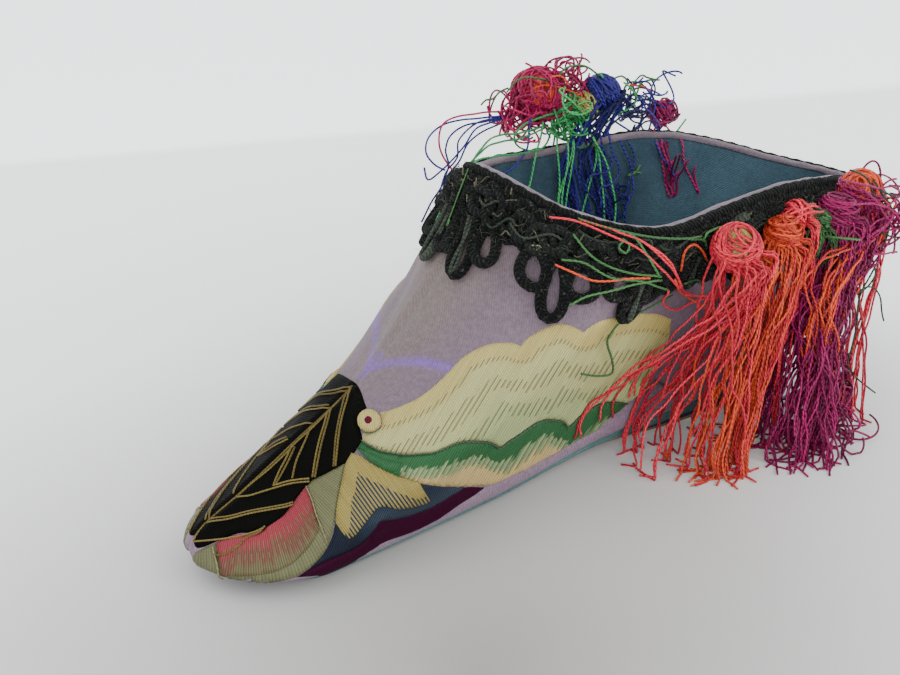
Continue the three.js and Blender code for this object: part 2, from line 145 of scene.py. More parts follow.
def upper_point(level, around):
    """The upper's outer surface: level 0 at the feather edge, 1 at the rim; around 0 front, 1 back."""
    level, around = np.broadcast_arrays(np.asarray(level, float), np.asarray(around, float))
    half = through(LEVEL_ROWS, 2, level) * COLLAR_WIDTH / 2
    front = through(LEVEL_ROWS, 1, level) * SHOE_LENGTH - ORIGIN_BEHIND_NOSE
    belly = front + through(LEVEL_ROWS, 3, level) * SHOE_LENGTH
    back = SHOE_LENGTH - ORIGIN_BEHIND_NOSE - HEEL_OVERHANG * (1 - level)
    pinch = through(LEVEL_ROWS, 5, level)
    turn = np.clip(around / FRONT_PART, 0, 1) * np.pi / 2
    front_x = half * np.sin(turn) ** (2 * through(LEVEL_ROWS, 4, level))
    front_y = front + (belly - front) * (1 - np.cos(turn))
    behind = 1 - (1 - np.clip((around - FRONT_PART) / (1 - FRONT_PART), 0, 1)) ** HEEL_SPREAD
    start = HEEL_ROUND_SOLE + (HEEL_ROUND_RIM - HEEL_ROUND_SOLE) * pinch
    round_off = np.clip((behind - start) / (1 - start), 0, 1)
    taper = through(SOLE_TAPER, 1, behind) * (1 - pinch) + through(RIM_TAPER, 1, behind) * pinch
    back_x = half * taper * np.sqrt(1 - round_off**2)
    in_front = around < FRONT_PART
    x = np.where(in_front, front_x, back_x)
    y = np.where(in_front, front_y, belly + (back - belly) * behind)
    along = (y - front) / (back - front)
    rim = rim_height(along)
    foot = feather_height(y)
    return np.stack([x, y, foot + (rim - foot) * level], -1)


def upper_normal(level, around):
    step = 0.002
    up = (upper_point(np.clip(level + step, 0, 1), around)
          - upper_point(np.clip(level - step, 0, 1), around))
    on = (upper_point(level, np.clip(around + step, 0, 1))
          - upper_point(level, np.clip(around - step, 0, 1)))
    normal = np.cross(on, up)
    normal /= np.linalg.norm(normal, axis=-1, keepdims=True)
    edge = (np.asarray(around) <= step) | (np.asarray(around) >= 1 - step)
    normal[..., 0] = np.where(edge, 0, normal[..., 0])
    return normal / np.linalg.norm(normal, axis=-1, keepdims=True)


def beside(level, around, distance):
    """A place outside the upper, level with it, or inside it when the distance is negative."""
    normal = upper_normal(level, around)
    flat = np.hypot(normal[..., 0], normal[..., 1])
    shift = distance / np.maximum(flat, 0.55) / flat
    point = upper_point(level, around)
    point[..., 0] += normal[..., 0] * shift
    point[..., 1] += normal[..., 1] * shift
    return point


# Distance round the upper, in millimetres from the front seam, at the level of the trim
AROUND_STEPS = np.linspace(0, 1, 500)


def girth_table(level):
    places = upper_point(level, AROUND_STEPS)
    return np.concatenate([[0], np.cumsum(np.linalg.norm(np.diff(places, axis=0), axis=1))])


TRIM_LEVEL = 0.85
SIDE_HEIGHT = 46.0
GIRTH = girth_table(TRIM_LEVEL)
GIRTH_MIDDLE = girth_table(0.45)


def around_at(distance):
    return np.interp(distance, GIRTH, AROUND_STEPS)


# The cloth's slow unevenness and its main creases. Each crease: level, around, direction in
# degrees from level, half length and half width in mm, depth in mm.
CREASES = [
    (0.62, 0.075, 62, 14, 2.4, -0.55), (0.50, 0.14, 50, 16, 3.0, 0.35), (0.70, 0.20, 20, 12, 2.0, -0.30),
    (0.42, 0.66, 75, 12, 1.6, -0.40), (0.38, 0.72, 80, 13, 1.4, -0.45), (0.36, 0.78, 82, 12, 1.4, 0.35),
    (0.40, 0.84, 84, 14, 1.8, -0.40), (0.20, 0.60, 30, 12, 1.6, -0.25), (0.30, 0.90, 88, 12, 1.5, -0.35),
    (0.55, 0.55, 60, 13, 2.2, -0.30), (0.80, 0.50, 10, 18, 3.0, -0.35),
]


def relief(level, around, side):
    across = np.interp(around, AROUND_STEPS, GIRTH_MIDDLE)
    up = level * SIDE_HEIGHT
    height = (0.10 * np.sin(across * 0.23 + up * 0.17 + side)
              + 0.07 * np.sin(across * 0.11 - up * 0.31 + 2 * side))
    for crease_level, crease_around, degrees, half_length, half_width, depth in CREASES:
        a = across - np.interp(crease_around, AROUND_STEPS, GIRTH_MIDDLE)
        u = up - crease_level * SIDE_HEIGHT
        turn = math.radians(degrees)
        on = a * math.cos(turn) + u * math.sin(turn)
        off = -a * math.sin(turn) + u * math.cos(turn)
        height = height + depth * np.exp(-(on / half_length) ** 2 - (off / half_width) ** 2)
    edge = smooth(level / 0.08) * smooth((1 - level) / 0.08)
    seam = across * np.minimum(1, 0.35 + level)
    height = (height * edge - 0.30 * np.exp(-(seam / 0.45) ** 2)
              + 0.16 * np.exp(-((seam - 1.1) / 0.6) ** 2))
    back = GIRTH_MIDDLE[-1] - across
    return height - 0.30 * np.exp(-(back / 0.45) ** 2) + 0.15 * np.exp(-((back - 1.1) / 0.6) ** 2)


def skin(level, around, side=1, lift=0.0):
    """A place on the upper's cloth, or a lift above it, on the left (1) or the right (-1)."""
    level, around = np.broadcast_arrays(np.asarray(level, float), np.asarray(around, float))
    height = relief(level, around, side) + lift
    return mirrored(upper_point(level, around) + upper_normal(level, around) * height[..., None], side)


# The camera, in the photograph's frame of 900 by 675
IMAGE_WIDTH, IMAGE_HEIGHT = 900, 675
FOCAL_PIXELS = 1180.0
CAMERA_PLACE = np.array([160.6, -142.8, 119.5])
CAMERA_AZIMUTH, CAMERA_ELEVATION, CAMERA_ROLL = 62.0, 26.8, -5.0


def camera_axes():
    azimuth, elevation, roll = np.radians([CAMERA_AZIMUTH, CAMERA_ELEVATION, CAMERA_ROLL])
    back = np.array([np.sin(azimuth) * np.cos(elevation), -np.cos(azimuth) * np.cos(elevation),
                     np.sin(elevation)])
    right = np.array([np.cos(azimuth), np.sin(azimuth), 0])
    up = np.cross(back, right)
    return np.stack([np.cos(roll) * right + np.sin(roll) * up,
                     np.cos(roll) * up - np.sin(roll) * right, back])


CAMERA_AXES = camera_axes()


def to_pixels(points):
    local = (points - CAMERA_PLACE) @ CAMERA_AXES.T
    return np.stack([IMAGE_WIDTH / 2 - FOCAL_PIXELS * local[..., 0] / local[..., 2],
                     IMAGE_HEIGHT / 2 + FOCAL_PIXELS * local[..., 1] / local[..., 2]], -1)


def make_camera():
    data = bpy.data.cameras.new("camera")
    data.sensor_width = 36
    data.lens = FOCAL_PIXELS / IMAGE_WIDTH * 36
    camera = bpy.data.objects.new("camera", data)
    bpy.context.scene.collection.objects.link(camera)
    turn = Matrix(CAMERA_AXES.T.tolist()).to_4x4()
    turn.translation = (CAMERA_PLACE * MM).tolist()
    camera.matrix_world = turn
    bpy.context.scene.camera = camera


class Picker:
    """Finds the place on the side that shows, (level, around), below a pixel."""

    def __init__(self):
        levels, arounds = np.linspace(0, 1, 170), np.linspace(0, 1, 280)
        self.level, self.around = np.meshgrid(levels, arounds, indexing="ij")
        places = upper_point(self.level, self.around)
        facing = ((CAMERA_PLACE - places) * upper_normal(self.level, self.around)).sum(-1) > 0
        self.level, self.around = self.level[facing], self.around[facing]
        pixels = to_pixels(places[facing])
        self.tree = kdtree.KDTree(len(pixels))
        for number, (u, v) in enumerate(pixels):
            self.tree.insert((u, v, 0), number)
        self.tree.balance()

    def __call__(self, pixels):
        pixels = np.asarray(pixels, float)
        nearest = [self.tree.find((u, v, 0))[1] for u, v in pixels]
        level, around = self.level[nearest].copy(), self.around[nearest].copy()
        step, longest, least_det, last = 0.0015, 0.02, 50, 0.997
        for _ in range(4):
            here = to_pixels(upper_point(level, around))
            by_level = (to_pixels(upper_point(np.clip(level + step, 0, 1), around)) - here) / step
            by_around = (to_pixels(upper_point(level, np.clip(around + step, 0, 1))) - here) / step
            miss = pixels - here
            det = by_level[:, 0] * by_around[:, 1] - by_level[:, 1] * by_around[:, 0]
            det = np.where(np.abs(det) < least_det, least_det * np.sign(det + 1e-9), det)
            move_level = (miss[:, 0] * by_around[:, 1] - miss[:, 1] * by_around[:, 0]) / det
            move_around = (by_level[:, 0] * miss[:, 1] - by_level[:, 1] * miss[:, 0]) / det
            level = np.clip(level + np.clip(move_level, -longest, longest), 0, last)
            around = np.clip(around + np.clip(move_around, -longest, longest), 0, last)
        return level, around


pick = Picker()


def smooth_run(points, spacing):
    """A smooth curve through points, sampled at about the spacing."""
    points = np.asarray(points, float)
    if len(points) == 2:
        count = max(2, int(np.linalg.norm(points[1] - points[0]) / spacing) + 1)
        return points[0] + (points[1] - points[0]) * np.linspace(0, 1, count)[:, None]
    padded = np.vstack([2 * points[0] - points[1], points, 2 * points[-1] - points[-2]])
    made = []
    for a, b, c, d in zip(padded, padded[1:], padded[2:], padded[3:]):
        count = max(1, int(round(np.linalg.norm(c - b) / spacing)))
        t = (np.arange(count) / count)[:, None]
        made.append(0.5 * (2 * b + (c - a) * t + (2 * a - 5 * b + 4 * c - d) * t**2
                           + (3 * b - 3 * c + d - a) * t**3))
    made.append(points[-1:])
    return np.vstack(made)


# Meshes

def make_mesh(name, points, faces, material, maps=None, tints=None):
    """A mesh object from points in mm and arrays of faces, each array with faces of one size.

    maps: name to a UV per point. tints: name to a number per point.
    """
    mesh = bpy.data.meshes.new(name)
    faces = [np.asarray(group, np.int32) for group in faces if len(group)]
    corners = np.concatenate([group.ravel() for group in faces])
    sizes = np.concatenate([np.full(len(group), group.shape[1]) for group in faces])
    starts = np.concatenate([[0], np.cumsum(sizes)[:-1]])
    mesh.vertices.add(len(points))
    mesh.vertices.foreach_set("co", (np.asarray(points) * MM).astype(np.float32).ravel())
    mesh.loops.add(len(corners))
    mesh.loops.foreach_set("vertex_index", corners)
    mesh.polygons.add(len(sizes))
    mesh.polygons.foreach_set("loop_start", starts.astype(np.int32))
    mesh.update(calc_edges=True)
    mesh.shade_smooth()
    for map_name, values in (maps or {}).items():
        layer = mesh.uv_layers.new(name=map_name)
        layer.data.foreach_set("uv", np.asarray(values)[corners].astype(np.float32).ravel())
    for tint_name, values in (tints or {}).items():
        layer = mesh.attributes.new(tint_name, "FLOAT", "POINT")
        layer.data.foreach_set("value", np.asarray(values, np.float32))
    for each in material if isinstance(material, list) else [material]:
        mesh.materials.append(each)
    piece = bpy.data.objects.new(name, mesh)
    bpy.context.scene.collection.objects.link(piece)
    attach(piece, "root")
    return piece


def grid_faces(rows, columns, start=0, closed=False):
    """Quads between rows of points, each of the given number of columns."""
    last = columns if closed else columns - 1
    row = np.arange(rows - 1)[:, None] * columns
    column = np.arange(last)[None, :]
    after = (column + 1) % columns
    quads = np.stack([row + column, row + after, row + columns + after, row + columns + column], -1)
    return quads.reshape(-1, 4) + start


def fan_faces(ring):
    """Triangles that close a ring of points."""
    ring = np.asarray(ring)
    return np.stack([np.full(len(ring) - 2, ring[0]), ring[1:-1], ring[2:]], -1)


class Threads:
    """Many round threads joined into one mesh."""

    def __init__(self, name):
        self.name = name
        self.points, self.quads, self.caps, self.uvs, self.shades = [], [], [], [], []
        self.count = 0

    def add(self, path, radius, sides=6, shade=0.5):
        path = np.asarray(path, float)
        count = len(path)
        tangents = np.gradient(path, axis=0)
        tangents /= np.linalg.norm(tangents, axis=1, keepdims=True) + 1e-12
        start = np.array([0.0, 0.0, 1.0]) if abs(tangents[0, 2]) < 0.9 else np.array([1.0, 0.0, 0.0])
        normals = np.empty_like(path)
        normal = start - tangents[0] * start.dot(tangents[0])
        for i in range(count):
            normal = normal - tangents[i] * normal.dot(tangents[i])
            normal /= np.linalg.norm(normal) + 1e-12
            normals[i] = normal
        sides_angle = np.arange(sides) / sides * 2 * np.pi
        other = np.cross(tangents, normals)
        ring = (np.cos(sides_angle)[None, :, None] * normals[:, None]
                + np.sin(sides_angle)[None, :, None] * other[:, None])
        points = path[:, None] + ring * radius
        length = np.concatenate([[0], np.cumsum(np.linalg.norm(np.diff(path, axis=0), axis=1))])
        wrap = np.minimum(np.arange(sides), sides - np.arange(sides)) / sides * 2
        along = length[:, None] + np.arange(sides) / sides
        uv = np.stack(np.broadcast_arrays(along, wrap[None, :]), -1)
        self.quads.append(grid_faces(count, sides, self.count, closed=True))
        self.caps.append(fan_faces(self.count + np.arange(sides)[::-1]))
        self.caps.append(fan_faces(self.count + (count - 1) * sides + np.arange(sides)))
        self.points.append(points.reshape(-1, 3))
        self.uvs.append(uv.reshape(-1, 2))
        self.shades.append(np.full(count * sides, shade))
        self.count += count * sides

    def build(self, material, slot):
        faces = [np.concatenate(self.quads), np.concatenate(self.caps)]
        piece = make_mesh(self.name, np.vstack(self.points), faces, material,
                          {"thread": np.vstack(self.uvs)}, {"shade": np.concatenate(self.shades)})
        return piece


# Materials. Colours are linear.

def node(tree, kind, inputs=None, **settings):
    made = tree.nodes.new(kind)
    for key, value in settings.items():
        setattr(made, key, value)
    for key, value in (inputs or {}).items():
        if isinstance(value, bpy.types.NodeSocket):
            tree.links.new(value, made.inputs[key])
        else:
            made.inputs[key].default_value = value
    return made


def maths(tree, operation, a, b=0.0, c=0.0):
    made = node(tree, "ShaderNodeMath", {0: a, 1: b, 2: c}, operation=operation)
    return made.outputs[0]


def blend(tree, share, a, b, kind="MIX"):
    made = tree.nodes.new("ShaderNodeMix")
    made.data_type = "RGBA"
    made.blend_type = kind
    for key, value in ((0, share), (6, a), (7, b)):
        if isinstance(value, bpy.types.NodeSocket):
            tree.links.new(value, made.inputs[key])
        elif key == 0:
            made.inputs[key].default_value = value
        else:
            made.inputs[key].default_value = (*value, 1)
    return made.outputs[2]


def noise(tree, place, scale, detail=3.0, roughness=0.55):
    inputs = {"Vector": place, "Scale": scale, "Detail": detail, "Roughness": roughness}
    made = node(tree, "ShaderNodeTexNoise", inputs)
    return made.outputs["Fac"]


def spread(tree, value, low, high, to_low=0.0, to_high=1.0):
    made = node(tree, "ShaderNodeMapRange", {0: value, 1: low, 2: high, 3: to_low, 4: to_high})
    return made.outputs[0]


def new_material(name, roughness, sheen=0.0, specular=0.3):
    material = bpy.data.materials.new(name)
    material.use_nodes = True
    tree = material.node_tree
    shader = tree.nodes["Principled BSDF"]
    shader.inputs["Roughness"].default_value = roughness
    shader.inputs["Sheen Weight"].default_value = sheen
    shader.inputs["Sheen Roughness"].default_value = 0.4
    shader.inputs["Specular IOR Level"].default_value = specular
    return material, tree, shader


def place_of(tree):
    return tree.nodes.new("ShaderNodeTexCoord").outputs["Object"]


def uv_parts(tree, name):
    made = node(tree, "ShaderNodeUVMap", uv_map=name)
    parts = node(tree, "ShaderNodeSeparateXYZ", {0: made.outputs[0]})
    return parts.outputs[0], parts.outputs[1], made.outputs[0]


def attribute(tree, name):
    return node(tree, "ShaderNodeAttribute", attribute_name=name).outputs["Fac"]


def paint(tree, shader, colour, grey):
    """Gives the shader a colour, darkened by a grey that changes over the surface."""
    shade = node(tree, "ShaderNodeCombineXYZ", {0: grey, 1: grey, 2: grey}).outputs[0]
    tree.links.new(blend(tree, 1.0, colour, shade, "MULTIPLY"), shader.inputs["Base Color"])


def bump(tree, shader, height, distance):
    made = node(tree, "ShaderNodeBump", {"Height": height, "Distance": distance * MM, "Strength": 1.0})
    tree.links.new(made.outputs[0], shader.inputs["Normal"])


def ribs(tree, across, pitch):
    """A wave from 0 to 1 with the given pitch."""
    wave = maths(tree, "SINE", maths(tree, "MULTIPLY", across, 2 * math.pi / pitch))
    return maths(tree, "MULTIPLY_ADD", wave, 0.5, 0.5)


def twill(name, colour, dark, pitch, roughness=0.75, marks_and_low_light=False, sheen=0.25, depth=0.10,
          darkest=0.80):
    """A twill cloth: diagonal ribs crossed by a finer weave, with slow fading and soiling; marked silk also
    has a painted highlight low on the side.
    """
    material, tree, shader = new_material(name, roughness, sheen)
    place = place_of(tree)
    across, up, _ = uv_parts(tree, "cloth")
    wobble = maths(tree, "MULTIPLY", noise(tree, place, 900.0, 2.0), pitch * 0.9)
    diagonal = maths(tree, "ADD", maths(tree, "MULTIPLY_ADD", up, 0.8, across), wobble)
    rib = ribs(tree, diagonal, pitch)
    weft = ribs(tree, maths(tree, "ADD", up, wobble), pitch * 0.55)
    weave = maths(tree, "MULTIPLY_ADD", weft, 0.35, maths(tree, "MULTIPLY", rib, 0.65))
    slow = spread(tree, noise(tree, place, 42.0, 4.0), 0.32, 0.68)
    fine = spread(tree, noise(tree, place, 1500.0, 2.0), 0.3, 0.7, 0.82, 1.12)
    base = blend(tree, slow, colour, dark)
    if marks_and_low_light:
        base = blend(tree, attribute(tree, "fade"), base, (0.150, 0.120, 0.108))
        # Painted light: the lowest part of the side, near the sole, is painted a lighter lilac.
        base = blend(tree, spread(tree, up, 4.0, 15.0, 0.6, 0.0), base, (0.235, 0.160, 0.220))
        base = blend(tree, attribute(tree, "violet"), base, (0.19, 0.045, 0.68))
    grey = maths(tree, "MULTIPLY", spread(tree, weave, 0.0, 1.0, darkest, 1.90 - darkest), fine)
    paint(tree, shader, base, grey)
    bump(tree, shader, weave, depth)
    return material


def stitched(name, colours, stops=(), pitch=0.46, dashes=(), dash_colour=(0.05, 0.045, 0.025), comb=None,
             contrast=0.25, roughness=0.55, specular=0.25, ragged=1.1, drift=1.6):
    """Satin stitch: threads side by side, coloured by the distance from the patch's guide edge.

    stops: the distances between which each colour gives way to the next.
    dashes: (distance, length, every) rows of dark gaps between threads. comb: (start, colour),
    beyond which every other pair of threads has the other colour. ragged and drift: how far, in mm,
    the bounds between colours jump from thread to thread and wander along the patch.
    """
    material, tree, shader = new_material(name, roughness, specular=specular)
    across, along, _ = uv_parts(tree, "stitch")
    depth, _, _ = uv_parts(tree, "depth")
    place = place_of(tree)
    number = maths(tree, "FLOOR", maths(tree, "DIVIDE", across, pitch))
    each = node(tree, "ShaderNodeTexWhiteNoise", {"W": number}, noise_dimensions="1D").outputs[0]
    slow = noise(tree, place, 130.0, 3.0)
    uneven = maths(tree, "ADD", maths(tree, "MULTIPLY_ADD", each, ragged, -ragged / 2),
                   maths(tree, "MULTIPLY_ADD", slow, drift, -drift / 2))
    shifted = maths(tree, "ADD", depth, uneven)
    colour = colours[0]
    for (low, high), tone in zip(stops, colours[1:]):
        colour = blend(tree, spread(tree, shifted, low, high), colour, tone)
    thread = ribs(tree, across, pitch)
    if comb:
        start, other = comb
        tooth = maths(tree, "GREATER_THAN", ribs(tree, across, pitch * 1.7), 0.5)
        uneven_depth = maths(tree, "ADD", depth, maths(tree, "MULTIPLY", each, 0.5))
        beyond = maths(tree, "GREATER_THAN", uneven_depth, start)
        colour = blend(tree, maths(tree, "MULTIPLY", tooth, beyond), colour, other)
    gaps = 0.0
    for distance, length, every in dashes:
        half = maths(tree, "MULTIPLY_ADD", each, length * 0.5, length * 0.25)
        row = maths(tree, "MULTIPLY_ADD", slow, 1.4, -0.7 - distance)
        off = maths(tree, "ABSOLUTE", maths(tree, "SUBTRACT", row, maths(tree, "MULTIPLY", depth, -1.0)))
        near = maths(tree, "LESS_THAN", off, half)
        one = maths(tree, "LESS_THAN", ribs(tree, across, pitch * every), 0.24)
        gaps = maths(tree, "MAXIMUM", gaps, maths(tree, "MULTIPLY", near, one))
    if dashes:
        colour = blend(tree, maths(tree, "MULTIPLY", gaps, 0.62), colour, dash_colour)
    grain = spread(tree, thread, 0.0, 1.0, 1 - contrast, 1 + contrast * 0.4)
    own = maths(tree, "MULTIPLY_ADD", each, 0.16, 0.92)
    weave = spread(tree, ribs(tree, along, pitch * 1.3), 0.0, 1.0, 0.95, 1.04)
    paint(tree, shader, colour, maths(tree, "MULTIPLY", maths(tree, "MULTIPLY", grain, own), weave))
    bump(tree, shader, maths(tree, "SUBTRACT", thread, maths(tree, "MULTIPLY", gaps, 1.5)), 0.07)
    return material


def twisted(name, colour, dark, pitch=0.95, roughness=0.5):
    """A two-ply twisted thread: slanting stripes round it, and a shade for each thread, partly its own tone
    and partly painted shade.
    """
    material, tree, shader = new_material(name, roughness)
    along, wrap, _ = uv_parts(tree, "thread")
    shade = attribute(tree, "shade")
    wave = ribs(tree, maths(tree, "MULTIPLY_ADD", wrap, pitch * 0.5, along), pitch)
    fine = spread(tree, noise(tree, place_of(tree), 1800.0, 2.0), 0.3, 0.7, 0.85, 1.1)
    # Painted shade in part: the dark colour is a shaded copy of the bright one, and each thread's shade mixes
    # them.
    base = blend(tree, shade, dark, colour)
    paint(tree, shader, base, maths(tree, "MULTIPLY", spread(tree, wave, 0.1, 0.9, 0.68, 1.1), fine))
    bump(tree, shader, wave, 0.13)
    return material


def wool(name, colour, dark):
    """A fuzzy crocheted wool cord with a plaited surface."""
    material, tree, shader = new_material(name, 0.95, 0.03, 0.06)
    along, wrap, _ = uv_parts(tree, "thread")
    shade = attribute(tree, "shade")
    place = place_of(tree)
    from_middle = maths(tree, "ABSOLUTE", maths(tree, "SUBTRACT", wrap, 0.5))
    plait = ribs(tree, maths(tree, "MULTIPLY_ADD", from_middle, 1.8, along), 0.75)
    fuzz = noise(tree, place, 1400.0, 4.0, 0.7)
    base = blend(tree, shade, dark, colour)
    light = blend(tree, spread(tree, fuzz, 0.58, 0.80), base, (0.13, 0.13, 0.11))
    paint(tree, shader, light, spread(tree, plait, 0.0, 1.0, 0.62, 1.15))
    bump(tree, shader, maths(tree, "MULTIPLY_ADD", fuzz, 1.6, plait), 0.30)
    return material


SILK = twill("upper_silk", (0.156, 0.111, 0.150), (0.130, 0.092, 0.128), 0.42, marks_and_low_light=True, sheen=0.08,
             depth=0.05)
LINING = twill("lining_twill", (0.048, 0.096, 0.125), (0.015, 0.035, 0.052), 0.62, roughness=0.95,
               sheen=0.0, darkest=0.66)
BINDING = twill("binding_ribbon", (0.160, 0.120, 0.148), (0.105, 0.078, 0.100), 0.5, roughness=0.8)
NAVY = twill("navy_cloth", (0.018, 0.022, 0.085), (0.012, 0.014, 0.050), 0.4, roughness=0.9, sheen=0.1)
TEAL = twill("teal_cloth", (0.075, 0.165, 0.160), (0.045, 0.110, 0.110), 0.4, roughness=0.85, sheen=0.1)


def leather():
    material, tree, shader = new_material("sole_leather", 0.6)
    place = place_of(tree)
    worn = spread(tree, noise(tree, place, 60.0, 5.0), 0.3, 0.7)
    grain = noise(tree, place, 900.0, 4.0, 0.65)
    base = blend(tree, worn, (0.26, 0.15, 0.065), (0.15, 0.085, 0.038))
    tree.links.new(base, shader.inputs["Base Color"])
    tree.links.new(spread(tree, worn, 0.0, 1.0, 0.5, 0.75), shader.inputs["Roughness"])
    bump(tree, shader, grain, 0.12)
    return material


LEATHER = leather()
CREAM, PALE_GREEN, SAGE = (0.385, 0.315, 0.105), (0.285, 0.330, 0.145), (0.106, 0.109, 0.050)
DEEP_GREEN, PEACH = (0.012, 0.080, 0.022), (0.42, 0.31, 0.13)
SLATE, MAROON, STRAW = (0.015, 0.024, 0.040), (0.026, 0.0005, 0.013), (0.245, 0.192, 0.050)
BLACK, HOT_PINK, DULL_PINK = (0.0012, 0.0012, 0.0008), (0.245, 0.028, 0.040), (0.125, 0.050, 0.030)

STITCH_WING = stitched("stitch_wing", [CREAM, (0.36, 0.355, 0.150), PALE_GREEN], [(2.6, 5.0), (9.0, 15.0)],
                       dashes=[(3.4, 0.9, 1.7), (8.6, 2.6, 2.2), (13.6, 2.4, 2.2)], contrast=0.24)
STITCH_NECK = stitched("stitch_neck", [CREAM], contrast=0.2)
STITCH_WAVE = stitched("stitch_wave", [DEEP_GREEN, (0.20, 0.25, 0.12), PEACH], [(3.0, 3.3), (4.7, 5.6)],
                       dashes=[(4.0, 2.6, 2.0)], dash_colour=DEEP_GREEN, contrast=0.3, ragged=1.5, drift=0.7)
STITCH_GREEN = stitched("stitch_green", [DEEP_GREEN])
STITCH_SAGE = stitched("stitch_sage", [SAGE], pitch=0.55)
STITCH_PINK = stitched("stitch_pink", [HOT_PINK, DULL_PINK, (0.105, 0.090, 0.038)], [(3.2, 3.8), (6.2, 7.2)],
                       pitch=0.42, contrast=0.4, dashes=[(2.9, 1.6, 2.3), (5.2, 1.4, 2.7)],
                       dash_colour=(0.16, 0.11, 0.05), ragged=2.4, drift=1.8)
STITCH_BLACK = stitched("stitch_black", [BLACK], pitch=0.4, contrast=0.4, roughness=0.7, specular=0.05)
STITCH_BLUE = stitched("stitch_blue", [(0.026, 0.038, 0.056), SLATE, (0.009, 0.013, 0.024)],
                       [(1.0, 3.0), (3.6, 6.4)], pitch=0.42, contrast=0.5, specular=0.1)
STITCH_CHEVRON = stitched("stitch_chevron", [STRAW], comb=(3.4, (0.016, 0.022, 0.034)))
STITCH_PUPIL = stitched("stitch_pupil", [(0.085, 0.004, 0.024)], pitch=0.4, specular=0.06)
STITCH_MAROON = stitched("stitch_maroon", [MAROON], pitch=0.4, contrast=0.3, specular=0.06)
GOLD = twisted("gold_cord", (0.230, 0.170, 0.036), (0.125, 0.090, 0.020), pitch=0.6, roughness=0.4)
WOOL = wool("trim_wool", (0.014, 0.017, 0.015), (0.004, 0.005, 0.005))
PALE_WOOL = wool("trim_pale_wool", (0.22, 0.21, 0.13), (0.045, 0.05, 0.035))
GREEN_WOOL = wool("trim_green_wool", (0.070, 0.088, 0.066), (0.025, 0.034, 0.026))


# The upper: silk outside, lining inside, one closed wall

def closing_faces(rows, columns):
    """Quads from the last row of points back to the first."""
    column = np.arange(columns)
    after = (column + 1) % columns
    last = (rows - 1) * columns
    return np.stack([last + column, last + after, after, column], -1)


def violet_line(points, far):
    """How strongly the violet chalk shows, by the distance from its arcs."""
    shown = np.zeros(len(points))
    for arc, width in ((VIOLET_ARC, 0.65), (VIOLET_BACK_ARC, 0.5)):
        level, around = pick(smooth_run(arc, 6))
        places = mirrored(upper_point(level, around), -1 if far else 1)
        gap = np.linalg.norm(points[:, None] - places[None], axis=2).min(1)
        shown = np.maximum(shown, 0.55 * np.exp(-(gap / width) ** 2))
    return shown


VIOLET_ARC = [(360, 373), (374, 366), (388, 362), (404, 361), (422, 362), (440, 366), (454, 369)]
VIOLET_BACK_ARC = [(360, 373), (364, 366), (367, 358), (370, 345)]


def make_upper():
    levels = np.concatenate([np.linspace(0, 0.1, 16), np.linspace(0.1, 1, 84)[1:]])
    front_seam, back_seam = 0.02, 0.985
    arounds = np.concatenate([np.linspace(0, front_seam, 9), np.linspace(front_seam, back_seam, 186)[1:-1],
                              np.linspace(back_seam, 1, 7)])
    level, around = np.meshgrid(levels, arounds, indexing="ij")
    rings, maps, fades, violets = [], [], [], []
    for inside in (False, True):
        sides = []
        for side in (1, -1):
            if inside:
                points = mirrored(beside(level, around, -UPPER_WALL), side)
            else:
                points = skin(level, around, side)
            if side == 1:
                points[:, 0, 0] = 0
                points[:, -1, 0] = 0
            sides.append(points)
        ring = np.concatenate([sides[0], sides[1][:, -2:0:-1]], axis=1)
        both = np.concatenate([around, around[:, -2:0:-1]], axis=1)
        signs = np.concatenate([np.ones_like(around), -np.ones_like(around[:, -2:0:-1])], axis=1)
        tall = np.concatenate([level, level[:, -2:0:-1]], axis=1)
        if inside:
            ring, both, signs, tall = ring[::-1], both[::-1], signs[::-1], tall[::-1]
        rings.append(ring)
        maps.append(np.stack([np.interp(both, AROUND_STEPS, GIRTH_MIDDLE) * signs, tall * SIDE_HEIGHT], -1))
        vamp = smooth(1 - both / 0.16) * smooth((tall - 0.25) / 0.3) * 0.75
        fades.append(vamp + 0.25 * smooth((tall - 0.45) / 0.5))
        shown = np.zeros(both.shape)
        if not inside:
            near = (both < 0.5) & (tall > 0.2) & (tall < 0.75)
            for far in (False, True):
                chosen = near & ((signs < 0) == far)
                shown[chosen] = violet_line(ring[chosen], far)
        violets.append(shown)
    points = np.concatenate(rings, axis=0)
    rows, columns = points.shape[:2]
    faces = np.concatenate([grid_faces(rows, columns, closed=True), closing_faces(rows, columns)])
    piece = make_mesh("upper_cloth", points.reshape(-1, 3), [faces], [SILK, LINING],
                      {"cloth": np.concatenate(maps).reshape(-1, 2)},
                      {"fade": np.concatenate(fades).ravel(), "violet": np.concatenate(violets).ravel()})
    first_inside = len(levels) * columns
    index = np.zeros(len(faces), np.int32)
    index[first_inside - columns:] = 1
    piece.data.polygons.foreach_set("material_index", index)
    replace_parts(piece, "upper")


